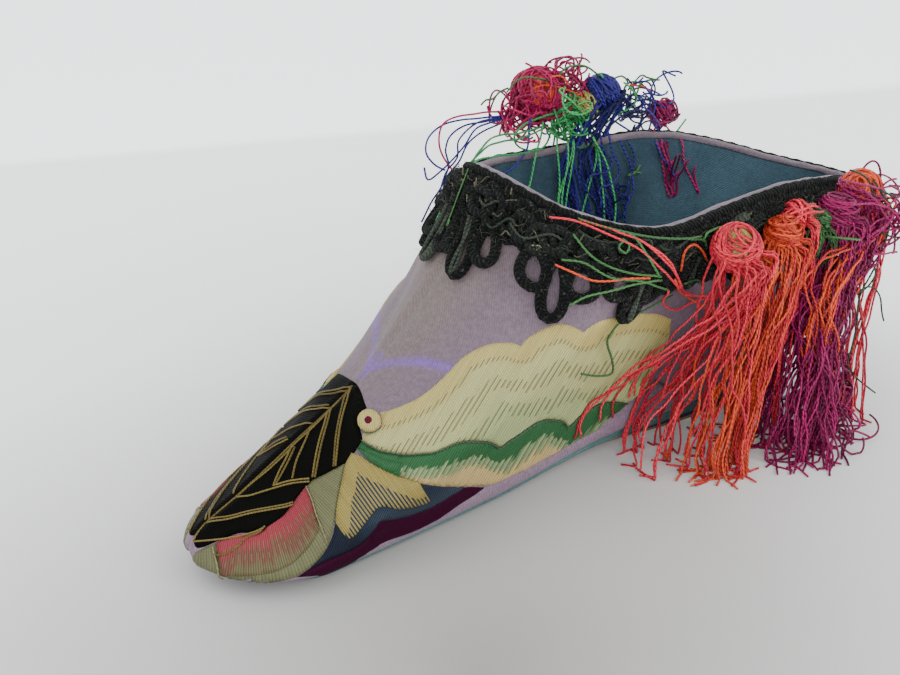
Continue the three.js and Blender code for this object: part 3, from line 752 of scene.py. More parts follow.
def make_binding():
    """The ribbon folded over the rim."""
    section = [(0.10, -1.3), (0.24, -1.0), (0.26, 0.1), (0.16, 0.4), (-0.2, 0.68), (-0.8, 0.78),
               (-1.35, 0.68), (-1.68, 0.4), (-1.80, 0.1), (-1.82, -0.1), (-1.75, -0.3), (-1.64, -0.25),
               (-1.5, 0.1), (0.0, 0.05)]
    arounds = np.linspace(0, 1, 230)
    rows, maps = [], []
    for number, (out, up) in enumerate(section):
        low = np.clip(1 + min(up, 0) / SIDE_HEIGHT, 0, 1) * np.ones_like(arounds)
        left = beside(low, arounds, out + 0.08 * np.sin(arounds * 61 + number) * (up > 0))
        left[:, 2] += max(up, 0) + 0.06 * np.sin(arounds * 97 + number * 0.5) * (up > 0)
        left[0, 0] = 0
        left[-1, 0] = 0
        right = mirrored(left[-2:0:-1], -1)
        rows.append(np.concatenate([left, right]))
        girth = np.interp(arounds, AROUND_STEPS, GIRTH)
        across = np.concatenate([girth, -girth[-2:0:-1]])
        maps.append(np.stack([across, np.full(len(across), number * 0.9)], -1))
    rows.append(rows[0])
    maps.append(maps[0])
    points = np.stack(rows)
    count = points.shape[1]
    sections = len(rows) - 1
    faces = np.concatenate([grid_faces(sections, count, closed=True), closing_faces(sections, count)])
    piece = make_mesh("binding_ribbon", points[:-1].reshape(-1, 3), [faces], BINDING,
                      {"cloth": np.stack(maps[:-1]).reshape(-1, 2)})
    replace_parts(piece, "collar_binding")


def sole_outline(layer, arounds):
    forward = np.clip(1 - arounds / FRONT_PART, 0, 1)
    along = share_along(upper_point(0, arounds)[:, 1])
    hidden = layer["forefoot"] * smooth((0.74 - along) / 0.30)
    half = beside(np.zeros_like(arounds), arounds, -layer["inset"] - hidden - NOSE_INSET * forward**2)
    half[0, 0] = 0
    half[-1, 0] = 0
    return half


def make_layer(name, node_name, layer, bottom, top, material):
    """A layer of the sole with softened edges."""
    half = sole_outline(layer, np.linspace(0, 1, 150))
    ring = np.concatenate([half, mirrored(half[-2:0:-1], -1)])
    count = len(ring)
    y = ring[:, 1]
    middle = np.array([0, ring[:, 1].mean(), 0])
    inward = (middle - ring) * np.array([1, 1, 0])
    inward /= np.linalg.norm(inward, axis=1, keepdims=True)
    low, high = bottom(y), top(y)
    rows = []
    for inset, share in ((1.2, 0.0), (0.22, 0.0), (0.0, 0.2), (0.0, 0.8), (0.22, 1.0), (1.2, 1.0)):
        row = ring + inward * inset
        row[:, 2] = low + (high - low) * share
        rows.append(row)
    points = np.stack(rows)
    near = np.arange(1, count // 2)
    across = np.stack([near, near + 1, count - near - 1, count - near], -1)
    cap = np.concatenate([across[:-1, [0, 1, 2]], across[:-1, [0, 2, 3]], across[-1:, [0, 1, 3]],
                          [[0, 1, count - 1]]])
    last = (len(rows) - 1) * count
    faces = [grid_faces(len(rows), count, closed=True), cap[:, ::-1], cap + last]
    maps = np.stack([points[..., 1], points[..., 0] + points[..., 2]], -1).reshape(-1, 2)
    piece = make_mesh(name, points.reshape(-1, 3), faces, material, {"cloth": maps})
    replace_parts(piece, node_name)


def make_sole():
    make_layer("sole_leather_layer", "outsole", OUTSOLE, sole_bottom,
               lambda y: layer_top(y, [OUTSOLE]), LEATHER)
    make_layer("sole_navy_layer", "midsole", MIDSOLE, lambda y: layer_top(y, [OUTSOLE]) + FIT * 0.3,
               lambda y: layer_top(y, [OUTSOLE, MIDSOLE]), NAVY)
    make_layer("sole_teal_layer", "wedge", WEDGE, lambda y: layer_top(y, [OUTSOLE, MIDSOLE]) + FIT * 0.3,
               lambda y: layer_top(y, [OUTSOLE, MIDSOLE, WEDGE]) + FIT * 0.6, TEAL)
    inner = {"inset": UPPER_WALL + 2 * FIT, "forefoot": 0.0}
    make_layer("inner_sole", "insole", inner, feather_height,
               lambda y: feather_height(y) + INSOLE_THICKNESS, LINING)


# Embroidery. Outlines are in pixels of the photograph, as runs that meet in corners, and lie on
# the side that shows; the other side has the same, mirrored.

FAR_SHIFT, FAR_SHIFT_LOW = 2.8, 2.6
PIXELS_PER_MM = 4.6
OUTLINE_STEP, ROUTE_STEP = 2.0, 4.0
SKIRT_DEPTH = 0.3


def to_chart(level, around):
    return np.stack([np.interp(around, AROUND_STEPS, GIRTH_MIDDLE), level * SIDE_HEIGHT], -1)


def from_chart(chart):
    return chart[:, 1] / SIDE_HEIGHT, np.interp(chart[:, 0], GIRTH_MIDDLE, AROUND_STEPS)


def border(faces):
    """The edges that only one triangle has, each in that triangle's order."""
    edges = np.concatenate([faces[:, [0, 1]], faces[:, [1, 2]], faces[:, [2, 0]]])
    known = {(a, b) for a, b in edges.tolist()}
    return np.array([(a, b) for a, b in edges.tolist() if (b, a) not in known])


def patch(name, runs, guide, stitch, material, lift=0.32, spacing=0.55, edge=0.6, base=0.06, ridge=False):
    """A raised field of satin stitch.

    runs: the outline. guide: the edge from which colours are counted. stitch: the direction of the
    threads as two pixels, or a centre pixel and a radius, with threads fanning from it. lift and
    base: the height above the cloth of the field and of its edge, from which a skirt goes down.
    """
    picked = [to_chart(*pick(smooth_run(run, OUTLINE_STEP))) for run in runs]
    free = np.vstack(picked)
    if ridge:
        picked[0][:, 0] = 0
        free = np.vstack(picked[1:])
    loop = np.vstack([run[:-1] for run in picked])
    keep = np.concatenate([[True], np.linalg.norm(np.diff(loop, axis=0), axis=1) > 0.12])
    loop = loop[keep]
    low, high = loop.min(0), loop.max(0)
    xs, ys = np.arange(low[0], high[0], spacing), np.arange(low[1], high[1], spacing)
    grid = np.stack(np.meshgrid(xs, ys), -1)
    grid[1::2, :, 0] += spacing / 2
    grid = grid.reshape(-1, 2)
    inside = np.zeros(len(grid), bool)
    for (x1, y1), (x2, y2) in zip(loop, np.roll(loop, -1, axis=0)):
        crosses = (y1 > grid[:, 1]) != (y2 > grid[:, 1])
        where = x1 + (grid[:, 1] - y1) * (x2 - x1) / (y2 - y1 if y2 != y1 else 1e-9)
        inside ^= crosses & (grid[:, 0] < where)
    grid = grid[inside]
    clear = nearest_distance(grid, loop) > spacing * 0.45
    everything = np.vstack([loop, grid[clear]])
    edges = [(i, (i + 1) % len(loop)) for i in range(len(loop))]
    made = delaunay_2d_cdt([tuple(p) for p in everything.tolist()], edges, [], 1, 1e-5)
    chart = np.array([tuple(p) for p in made[0]])
    faces = np.array([tuple(face) for face in made[2]])
    level, around = from_chart(chart)
    rise = smooth(nearest_distance(chart, free) / edge)
    height = base + (lift - base) * np.sqrt(rise)
    rim = border(faces)
    pixels = to_pixels(upper_point(level, around))
    flat_guide = to_pixels(upper_point(*pick(smooth_run(guide, OUTLINE_STEP))))
    depth = nearest_distance(pixels, flat_guide) / PIXELS_PER_MM
    (ax, ay), second = stitch
    if isinstance(second, tuple):
        direction = unit(np.array([second[0] - ax, second[1] - ay], float))
        sideways = np.array([-direction[1], direction[0]])
        stitch_uv = np.stack([pixels @ sideways, pixels @ direction], -1) / PIXELS_PER_MM
    else:
        away = pixels - np.array([ax, ay])
        turned = np.arctan2(away[:, 1], away[:, 0]) * second
        stitch_uv = np.stack([turned, np.linalg.norm(away, axis=1)], -1) / PIXELS_PER_MM
    maps = {"stitch": stitch_uv, "depth": np.stack([depth, depth], -1)}
    for side in (1, -1):
        place = around if side == 1 else far_place(level, around)
        points = skin(level, place, side, height)
        skirt = skin(level, place, side, -SKIRT_DEPTH)
        if ridge:
            points[chart[:, 0] < 1e-6, 0] = 0
        count = len(points)
        walls = np.stack([rim[:, 1], rim[:, 0], rim[:, 0] + count, rim[:, 1] + count], -1)
        groups = [faces, walls] if side == 1 else [faces[:, ::-1], walls[:, ::-1]]
        doubled = {key: np.vstack([values, values]) for key, values in maps.items()}
        side_name = "near" if side == 1 else "far"
        piece = make_mesh(f"{name}_{side_name}", np.vstack([points, skirt]), groups, material, doubled)


def far_place(level, around):
    """The far side's fields lie a little further from the ridge of the toe than the near ones."""
    away = np.interp(around, AROUND_STEPS, GIRTH_MIDDLE)
    shift = FAR_SHIFT + FAR_SHIFT_LOW * smooth((0.5 - level) / 0.4)
    away = away + shift * smooth(away / shift / 2) * smooth((60 - away) / 40)
    return np.interp(away, GIRTH_MIDDLE, AROUND_STEPS)


def nearest_distance(points, line):
    tree = kdtree.KDTree(len(line))
    for number, place in enumerate(line):
        tree.insert((place[0], place[1], 0), number)
    tree.balance()
    return np.array([tree.find((p[0], p[1], 0))[2] for p in points])


WING_TOP = [(381, 413), (390, 411), (403, 406), (418, 399), (432, 389), (446, 376), (455, 366)]
WING_TOP_FIRST = [(455, 366), (463, 358), (472, 352), (482, 347), (491, 344), (501, 343), (512, 343),
                  (521, 346)]
WING_TOP_SECOND = [(521, 346), (528, 338), (538, 332), (550, 326), (560, 324), (568, 325), (576, 328),
                   (583, 332)]
WING_TOP_THIRD = [(583, 332), (592, 325), (602, 320), (615, 317), (630, 315), (645, 314), (660, 315),
                  (671, 319)]
WING_REAR = [(671, 319), (669, 335), (663, 352), (653, 374), (643, 390), (627, 403)]
WAVE_TOP_LAST = [(627, 403), (611, 402), (600, 404), (592, 408), (583, 413), (575, 420), (568, 427)]
WAVE_TOP_THIRD = [(568, 427), (565, 423), (558, 420), (544, 419), (531, 424), (516, 435), (508, 440),
                  (499, 447)]
WAVE_TOP_SECOND = [(499, 447), (490, 442), (474, 441), (460, 442), (449, 446), (435, 452), (420, 454),
                   (405, 455), (390, 453), (380, 451), (370, 446), (362, 441)]
NECK = [(362, 441), (364, 433), (372, 433), (381, 428), (382, 420), (381, 413)]
WAVE_TOP = WAVE_TOP_LAST[:-1] + WAVE_TOP_THIRD[:-1] + WAVE_TOP_SECOND
WAVE_FRONT = [(362, 441), (357, 449)]
WAVE_UNDER = [(357, 449), (364, 456), (372, 463), (384, 470), (400, 477), (412, 481), (424, 484),
              (437, 486), (449, 487), (462, 487), (476, 486), (487, 485), (497, 482), (510, 476),
              (523, 470), (540, 461), (554, 454), (570, 445), (583, 438), (598, 430)]
WAVE_TAIL = [(598, 430), (611, 417), (621, 410), (627, 403)]
EYE_CENTRE, EYE_RADIUS, PUPIL_RADIUS = (370, 421.5), 11.5, 3.8

BLACK_RIDGE = [(352, 381), (330.5, 406), (310.5, 422.5), (294, 439), (238.5, 495.6), (212.5, 517),
               (197, 536)]
BLACK_NEAR = [(352, 380), (357, 385), (361, 393), (364, 401), (367, 408)]
BLACK_EYE = [(367, 408), (361, 414), (359, 422), (361, 431), (363, 440)]
BLACK_CHEVRON = [(363, 440), (357, 449), (352, 456), (346, 463)]
BLACK_SAGE = [(346, 463), (338, 467), (325, 474), (312, 480)]
BLACK_PINK = [(312, 480), (307, 486), (300, 494), (290, 508), (281, 518), (270, 525), (262, 531),
              (252, 533), (240, 533), (228, 537), (216, 542), (205, 547)]
BLACK_TIP = [(205, 547), (198, 548), (195, 543), (194, 539)]

SAGE_TOP = [(312, 480), (325, 474), (338, 467), (346, 463)]
SAGE_RIGHT = [(346, 463), (343, 476), (340, 491), (337, 508), (335, 522), (332, 535), (327, 547),
              (318, 560), (308, 569), (296, 577)]
SAGE_BOTTOM = [(296, 577), (280, 581), (262, 583), (242, 582.5), (221, 580)]
SAGE_DIVIDER = [(221, 580), (219, 568), (217, 556), (216, 543)]
SAGE_INNER = [(216, 543), (230, 537), (250, 533), (265, 530), (285, 515), (300, 494), (312, 480)]
TIP_TOP = [(216, 543), (207, 547), (198, 552), (193, 558)]
TIP_FRONT = [(193, 558), (193, 562), (196, 566), (200, 570)]
TIP_BOTTOM = [(200, 570), (209, 576), (221, 580)]
PINK_TOP = [(307, 486), (300, 495), (290, 509), (281, 519), (270, 526), (262, 532), (250, 534),
            (238, 535), (226, 539), (217, 544)]
PINK_FRONT = [(217, 544), (219, 556), (221, 566), (223, 575)]
PINK_UNDER = [(223, 575), (240, 576), (258, 575), (275, 572), (290, 565), (302, 555), (312, 543),
              (320, 530)]
PINK_REAR = [(320, 530), (317, 516), (313, 501), (307, 486)]

CHEVRON_TOP = [(352, 453), (362, 457), (372, 464), (384, 470), (398, 476), (410, 480), (419, 482)]
CHEVRON_END = [(419, 482), (424, 491), (430, 501)]
CHEVRON_UNDER = [(430, 501), (420, 505), (408, 507), (396, 508), (386, 506), (377, 508), (370, 516),
                 (361, 527), (354, 535), (347, 538)]
CHEVRON_TIP = [(347, 538), (341, 531), (336, 523)]
CHEVRON_FRONT = [(336, 523), (337, 508), (340, 492), (343, 477), (346, 464), (352, 453)]
CHEVRON_GUIDE = CHEVRON_FRONT[:-1] + CHEVRON_TOP
BLUE_FRONT = [(310, 568), (320, 558), (328, 546), (333, 534), (336, 520)]
BLUE_TOP = [(336, 520), (344, 500), (360, 475), (385, 470), (410, 480), (425, 484), (440, 486),
            (452, 487), (465, 486)]
MAROON_TOP_REAR = [(484, 487), (465, 488), (452, 496), (430, 509), (405, 518), (380, 521)]
MAROON_TOP_FRONT = [(380, 521), (374, 530), (362, 543), (345, 553), (325, 561), (310, 569), (297, 577)]
MAROON_UNDER = [(297, 577), (315, 575.5), (330, 572), (350, 563), (370, 551), (385, 542), (415, 531),
                (440, 518), (460, 504), (474, 495), (484, 487)]


def circle(centre, radius, count=20):
    turns = np.linspace(0, 2 * np.pi, count + 1)
    return [(centre[0] + radius * math.cos(t), centre[1] - radius * math.sin(t)) for t in turns]


def make_embroidery():
    slanted = ((560, 340), (505, 430))
    patch("black_toe", [BLACK_RIDGE[::-1], BLACK_NEAR, BLACK_EYE, BLACK_CHEVRON, BLACK_SAGE, BLACK_PINK,
                        BLACK_TIP], BLACK_NEAR, ((300, 440), (280, 500)), STITCH_BLACK, ridge=True)
    patch("sage_band", [SAGE_TOP, SAGE_RIGHT, SAGE_BOTTOM, SAGE_DIVIDER, SAGE_INNER], SAGE_RIGHT,
          ((250, 430), 110), STITCH_SAGE, lift=0.28)
    patch("sage_tip", [TIP_TOP, TIP_FRONT, TIP_BOTTOM, SAGE_DIVIDER], TIP_TOP, ((210, 545), (212, 575)),
          STITCH_SAGE)
    patch("pink_petal", [PINK_TOP, PINK_FRONT, PINK_UNDER, PINK_REAR], PINK_TOP, ((250, 430), 110),
          STITCH_PINK, lift=0.50, base=0.34)
    patch("blue_field", [BLUE_FRONT, BLUE_TOP, MAROON_TOP_REAR[1:], MAROON_TOP_FRONT], MAROON_TOP_REAR,
          ((380, 480), (350, 540)), STITCH_BLUE, lift=0.22)
    patch("cream_chevron", [CHEVRON_TOP, CHEVRON_END, CHEVRON_UNDER, CHEVRON_TIP, CHEVRON_FRONT],
          CHEVRON_GUIDE, ((375, 470), (400, 505)), STITCH_CHEVRON, lift=0.50, base=0.30, spacing=0.45)
    patch("maroon_band", [MAROON_TOP_REAR, MAROON_TOP_FRONT, MAROON_UNDER], MAROON_TOP_REAR,
          ((380, 525), (392, 545)), STITCH_MAROON, lift=0.42)
    wing_top = WING_TOP[:-1] + WING_TOP_FIRST[:-1] + WING_TOP_SECOND[:-1] + WING_TOP_THIRD
    patch("cream_wing", [WING_TOP + WING_TOP_FIRST[1:], WING_TOP_SECOND, WING_TOP_THIRD, WING_REAR,
                         WAVE_TOP_LAST, WAVE_TOP_THIRD, WAVE_TOP_SECOND, NECK],
          wing_top, slanted, STITCH_WING)
    patch("green_wave", [WAVE_FRONT, WAVE_UNDER, WAVE_TAIL, WAVE_TOP_LAST, WAVE_TOP_THIRD, WAVE_TOP_SECOND],
          WAVE_TOP, slanted, STITCH_WAVE, lift=0.40)
    patch("green_end", [WAVE_UNDER[:5], [(400, 477), (402, 462)],
                        [(402, 462), (384, 459), (370, 453), (357, 449)]],
          WAVE_TOP, slanted, STITCH_GREEN, lift=0.45, base=0.42)
    patch("eye", [circle(EYE_CENTRE, EYE_RADIUS)], [EYE_CENTRE, (370.5, 421.5)], ((370, 400), (372, 440)),
          STITCH_NECK, lift=0.66, base=0.42, spacing=0.45)
    patch("pupil", [circle(EYE_CENTRE, PUPIL_RADIUS)], [EYE_CENTRE, (370.5, 421.5)], ((370, 400), (372, 440)),
          STITCH_PUPIL, lift=0.85, base=0.68, spacing=0.3, edge=0.4)


# Couched cords: pixel routes on the side that shows. The spine is laid once; the branches
# are on both sides.
SPINE_CORDS = [
    [(350, 384), (342, 391), (330, 405), (318, 419), (308, 430), (296, 441)],
    [(352, 385), (344, 393), (333, 407), (321, 421), (311, 431), (298, 443), (286, 456), (268, 473),
     (250, 487), (239, 497), (228, 503), (218, 511), (209, 520), (203, 528), (198, 537), (196, 543)],
    [(296, 440), (284, 454), (266, 471), (250, 485), (239, 494.5), (228, 500.5), (218, 508.5)],
]
BRANCH_CORDS = [
    [(349, 384), (346, 395), (343, 405), (339, 425), (336, 445), (334, 467)],
    [(351, 386), (348.5, 397), (345.5, 407), (341.5, 426), (338.5, 446), (336, 467)],
    [(330, 407), (325, 425), (320, 443), (316, 460), (313, 478)],
    [(332, 408), (327.5, 426), (322.5, 445), (318.5, 462), (315.5, 478)],
    [(313, 424), (309, 435), (303, 449), (297, 463), (293, 479)],
    [(294, 446), (287, 460), (280, 473), (274, 487)],
    [(296, 448), (289.5, 462), (282.5, 475), (276, 486)],
    [(238, 499), (250, 497), (262, 493), (276, 488.5), (292, 484), (310, 482)],
    [(274, 486.5), (288, 482), (300, 480), (310, 479)],
    [(209, 521), (230, 517.5), (250, 512), (270, 508), (286, 505), (294, 502.5)],
    [(209, 524), (230, 520), (250, 514.5), (270, 510.5), (286, 507.5), (294, 505)],
    [(197, 543), (212, 541), (228, 539), (245, 535.5), (258, 531.5), (266, 527)],
]
GOLD_RADIUS = 0.165
LOOSE_CORD = [(266, 527), (260, 533), (248, 538), (240, 546), (231, 553), (223, 555.5), (217, 555)]
DIVIDER_CORD = [(214, 548), (216, 556), (219, 567), (221, 578)]
PETAL_CORD = [(307, 487), (313, 501), (317, 515), (322, 528), (327, 541)]
HEEL_CORD = [(655, 380), (662, 384), (672, 387), (681, 387), (690, 385), (698, 381), (705, 377)]
WING_CORD = WAVE_TOP[::-1]
BEAK_CORD = [(362, 431), (366, 433.5), (371, 434), (377, 432.5), (381, 429)]


def lay_cord(threads, route, radius, lift, shade=0.5, sides=(1, -1)):
    level, around = pick(smooth_run(route, 3.0))
    for side in sides:
        place = around if side == 1 else far_place(level, around)
        threads.add(skin(level, place, side, lift), radius, 6, shade)


def make_cords():
    gold = Threads("gold_cords")
    for number, route in enumerate(SPINE_CORDS):
        lay_cord(gold, route, GOLD_RADIUS, 0.42, 0.5 + 0.2 * number, (1,))
    for number, route in enumerate(BRANCH_CORDS):
        shade = 0.3 + 0.5 * (number % 3) / 2
        lay_cord(gold, route, GOLD_RADIUS, 0.42, shade)
    lay_cord(gold, LOOSE_CORD, GOLD_RADIUS, 0.60, 0.6, (1,))
    lay_cord(gold, HEEL_CORD, 0.22, 0.18, 0.1)
    gold.build(GOLD, "upper_silk")
    pale = Threads("pale_cords")
    lay_cord(pale, DIVIDER_CORD, 0.15, 0.42, 0.9)
    lay_cord(pale, PETAL_CORD, 0.12, 0.52, 0.9)
    pale.build(twisted("pale_cord", (0.30, 0.26, 0.13), (0.24, 0.20, 0.10), pitch=0.9), "upper_silk")
    grey = Threads("grey_cords")
    lay_cord(grey, WING_CORD, 0.11, 0.40, 0.6)
    lay_cord(grey, BEAK_CORD, 0.10, 0.62, 0.4)
    grey.build(twisted("grey_cord", (0.10, 0.11, 0.08), (0.05, 0.055, 0.045), pitch=0.9), "upper_silk")


# The crocheted trim

def hangs_below(level, around, lower):
    """The place round the upper straight below another one."""
    step = 0.004
    start = upper_point(level, around)
    normal = upper_normal(level, around)
    place = np.array(around, float)

    def aside(points):
        return ((points[..., 1] - start[..., 1]) * normal[..., 0]
                - (points[..., 0] - start[..., 0]) * normal[..., 1])

    for _ in range(4):
        change = aside(upper_point(lower, place + step)) - aside(upper_point(lower, place - step))
        slope = change / (2 * step)
        place = np.clip(place - aside(upper_point(lower, place)) / slope, step, 1 - step)
    return place


LOCAL_HEIGHT = np.linalg.norm(upper_point(0.9, AROUND_STEPS) - upper_point(0.78, AROUND_STEPS), axis=1) / 0.12
BAND_DROP = 6.6
BAND_SHARE = 0.14
PICOT_LEAN = 0.3


def trim_point(distance, down, side, lift):
    """A place on the trim: distance round the collar, and down from the rim, in mm.

    Down to the band's drop, the band is as wide as its share of the height; below, loops hang.
    """
    distance, down, side = np.broadcast_arrays(np.asarray(distance, float), np.asarray(down, float), side)
    side_of = np.where(distance < 0, -side, side)
    around = around_at(np.abs(distance))
    local = np.interp(around, AROUND_STEPS, LOCAL_HEIGHT)
    in_band = 1 - BAND_SHARE * np.minimum(down, BAND_DROP) / BAND_DROP
    level = in_band - np.maximum(down - BAND_DROP, 0) / local
    hung = hangs_below(np.full_like(level, 1 - BAND_SHARE), around, level)
    place = np.where(down > BAND_DROP, hung + PICOT_LEAN * (around - hung), around)
    out = np.broadcast_to(lift, level.shape)[..., None]
    point = upper_point(level, place) + upper_normal(level, place) * out
    return point * np.stack([side_of, np.ones_like(level), np.ones_like(level)], -1)


# Each picot on a side: distance from the front seam, drop below the band, half width, green or not
PICOTS = [
    (0.9, 5.5, 1.2, 0), (3.6, 8.2, 1.2, 1), (7.2, 5.0, 1.6, 0), (15.8, 5.2, 1.9, 0), (19.4, 8.6, 1.5, 0),
    (23.4, 4.9, 1.9, 0), (29.4, 4.8, 1.9, 0), (32.6, 10.0, 1.4, 1), (36.2, 6.8, 1.9, 0), (40.6, 6.4, 1.9, 0),
    (45.2, 7.4, 1.6, 1), (50.0, 7.4, 2.0, 0), (54.6, 7.4, 2.0, 0), (58.4, 10.5, 1.3, 1),
    (63.0, 7.0, 2.0, 0), (67.4, 7.0, 2.0, 0), (71.2, 10.0, 1.3, 1), (75.8, 6.6, 1.9, 0), (80.2, 6.6, 1.9, 0),
    (84.2, 9.0, 1.3, 1), (88.6, 6.2, 1.8, 0), (92.8, 6.0, 1.8, 0), (96.6, 8.0, 1.2, 1), (100.6, 5.6, 1.7, 0),
    (104.6, 5.2, 1.6, 0),
]


FUZZ_COUNT = 4200
WISP_COUNT = 320
TRIM_LIP = 0.45
ROW_RADIUS, ROW_LIFT = 0.8, 0.7


def make_trim():
    rng = random.Random(7)
    dark, green = Threads("crochet_trim"), Threads("crochet_green")
    length = GIRTH[-1]
    for side in (1, -1):
        for row, down in enumerate((1.2, 2.2, 4.2, 6.2)):
            run = np.arange(0, length, 0.8)
            wave = down + 0.35 * np.sin(run * 1.9 + row * 2 + side)
            dark.add(trim_point(run, wave, side, ROW_LIFT), ROW_RADIUS, 7, rng.uniform(0.2, 0.7))
        lip = trim_point(run, 0.1 + 0.1 * np.sin(run * 2.3), side, 0.25) + UP * TRIM_LIP
        dark.add(lip, 0.62, 7, 0.4)
        centre = 2.0
        while centre < length - 1.5:
            turns = np.linspace(0, 2.3 * np.pi, 16) + rng.uniform(0, 6)
            wide, tall = rng.uniform(1.7, 2.3), rng.uniform(1.5, 2.0)
            middle = 3.9 + rng.uniform(-0.9, 0.9)
            run = centre + wide * np.cos(turns)
            lift = 1.5 + 0.35 * np.sin(turns * 1.7)
            chosen = green if rng.random() < 0.03 else dark
            chosen.add(trim_point(run, middle + tall * np.sin(turns), side, lift), rng.uniform(0.62, 0.82), 7,
                       rng.uniform(0.1, 1.0))
            centre += rng.uniform(2.2, 3.4)
        for at, drop, half, is_green in PICOTS:
            drop = drop + rng.uniform(-0.4, 0.4)
            t = np.linspace(-1, 1, 19)
            shape = np.abs(t)
            belly = np.sqrt(np.clip(1 - (1 - shape) ** 4, 0, 1))
            belly = belly * (0.72 + 0.5 * np.sin(np.pi * (1 - shape) ** 1.2))
            run = at + half * np.sign(t) * belly * np.where(shape > 0.86, 0.8, 1)
            down = BAND_DROP - 1.0 + (drop + 1.0) * (1 - shape ** 1.5)
            lift = 1.15 + 0.25 * np.sin(t * 4 + at)
            chosen = green if is_green and rng.random() < 0.45 else dark
            radius = 0.85 if is_green else 0.95
            chosen.add(trim_point(run, down, side, lift), radius, 8, rng.uniform(0.1, 0.8))
            if is_green:
                green.add(trim_point(at + 0.25 * np.sin(t * 5), down, side, lift + 0.75), 0.32, 5,
                          rng.uniform(0.2, 0.8))
        for _ in range(26):
            start = rng.uniform(0, length - 8)
            run = start + np.linspace(0, rng.uniform(4, 9), 12)
            down = (rng.uniform(1.5, 6.5)
                    + rng.uniform(0.4, 1.4) * np.sin(np.linspace(0, rng.uniform(3, 7), 12)))
            green.add(trim_point(run, down, side, 2.1), 0.24, 5, rng.uniform(0.0, 1.0))
    wisps = Threads("trim_wisps")
    for _ in range(WISP_COUNT):
        start, fall = rng.uniform(0, length - 4), rng.uniform(0.6, 6.4)
        bend = np.linspace(0, 1, 8)
        run = start + rng.uniform(-2.5, 2.5) * bend
        down = fall + rng.uniform(-1.2, 1.2) * bend + rng.uniform(-0.5, 0.5) * np.sin(bend * 5)
        wisps.add(trim_point(run, np.maximum(down, 0.1), rng.choice((1, -1)), rng.uniform(1.7, 2.3)),
                  rng.uniform(0.07, 0.17), 4, rng.random() ** 2)
    wisps.build(PALE_WOOL, "trim_wool")
    backing(dark)
    piece = dark.build(WOOL, "trim_wool")
    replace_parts(piece, "collar_trim")
    green.build(GREEN_WOOL, "trim_wool")
    make_fuzz(rng)


def backing(threads):
    """The dense crochet ground behind the loops."""
    length = GIRTH[-1]
    for side in (1, -1):
        for down in np.arange(0.2, 6.9, 0.75):
            run = np.arange(0, length + 0.4, 1.1)
            threads.add(trim_point(run, down + 0.2 * np.sin(run * 2.3 + down), side, 0.25), 0.55, 6, 0.1)


def any_way(rng):
    """A random vector, as likely one way as another."""
    return np.array([rng.gauss(0, 1) for _ in range(3)])


def make_fuzz(rng):
    """Short hairs that stand off the wool."""
    hairs = Threads("trim_fuzz")
    at, down, sides = [], [], []
    for _ in range(FUZZ_COUNT):
        picot = rng.choice(PICOTS)
        on_picot = rng.random() < 0.4
        at.append(picot[0] + rng.uniform(-2.4, 2.4) if on_picot else rng.uniform(0, GIRTH[-1]))
        down.append(BAND_DROP + rng.uniform(0, 1) * picot[1] if on_picot else rng.uniform(0.4, 7.0))
        sides.append(rng.choice((1, -1)))
    starts = trim_point(np.array(at), np.array(down), np.array(sides), 1.6)
    for start, side in zip(starts, sides):
        aim = unit(any_way(rng) + np.array([side * 0.8, 0, 0.2]))
        bend = any_way(rng) * 0.35
        long = rng.uniform(0.6, 1.6)
        path = np.array([start + aim * long * t + bend * (t * t) for t in (0.0, 0.5, 1.0)])
        hairs.add(path, 0.035, 3, rng.uniform(0, 1))
    hairs.build(wool("fuzz_wool", (0.22, 0.21, 0.17), (0.015, 0.018, 0.016)), "trim_wool")


# The tassels. Heads and strands are placed by the pixels of the photograph.

# Each thread colour comes with a dark copy of itself: painted shade for strands that lie in shadow, mixed in
# by each thread's shade.
CORAL = twisted("coral_thread", (0.80, 0.045, 0.070), (0.42, 0.008, 0.028))
ORANGE = twisted("orange_thread", (0.80, 0.100, 0.030), (0.40, 0.022, 0.011))
MAGENTA = twisted("magenta_thread", (0.350, 0.004, 0.105), (0.110, 0.001, 0.034))
CRIMSON = twisted("crimson_thread", (0.46, 0.007, 0.090), (0.20, 0.002, 0.040))
GREEN = twisted("green_thread", (0.055, 0.420, 0.120), (0.022, 0.200, 0.055))
DARK_GREEN = twisted("dark_green_thread", (0.060, 0.190, 0.050), (0.012, 0.045, 0.016))
BLUE = twisted("blue_thread", (0.022, 0.018, 0.230), (0.003, 0.003, 0.045))
OLIVE = twisted("olive_thread", (0.420, 0.360, 0.090), (0.220, 0.180, 0.050))
THREAD_RADIUS = 0.20


def ray_place(pixel, axis, value):
    """The place on a pixel's line of sight where the coordinate on the axis has the value."""
    u, v = pixel
    local = np.array([(u - IMAGE_WIDTH / 2) / FOCAL_PIXELS, (IMAGE_HEIGHT / 2 - v) / FOCAL_PIXELS, -1])
    aim = local @ CAMERA_AXES
    return CAMERA_PLACE + aim * (value - CAMERA_PLACE[axis]) / aim[axis]


def clear_of_upper(points, side, gap):
    """Moves points outward until they are clear of the upper's side, or of its lining inside."""
    steps = np.linspace(0.02, 0.995, 70)
    y = points[:, 1]
    share = np.clip((y + 60) / 96, 0, 1)
    rim = rim_height(share)
    foot = feather_height(y)
    level = np.clip((points[:, 2] - foot) / (rim - foot), 0, 1)
    rows = upper_point(level[:, None], steps[None, :])
    wall = np.array([np.interp(at, row[:, 1], row[:, 0], left=-99, right=-99) for at, row in zip(y, rows)])
    trim = 2.2 * smooth((level - 0.78) / 0.1)
    below_rim = points[:, 2] < rim + 1.0
    out = np.maximum(points[:, 0] * side, wall + gap + trim)
    points[:, 0] = np.where(below_rim & (wall > 0), out * side, points[:, 0])
    return points


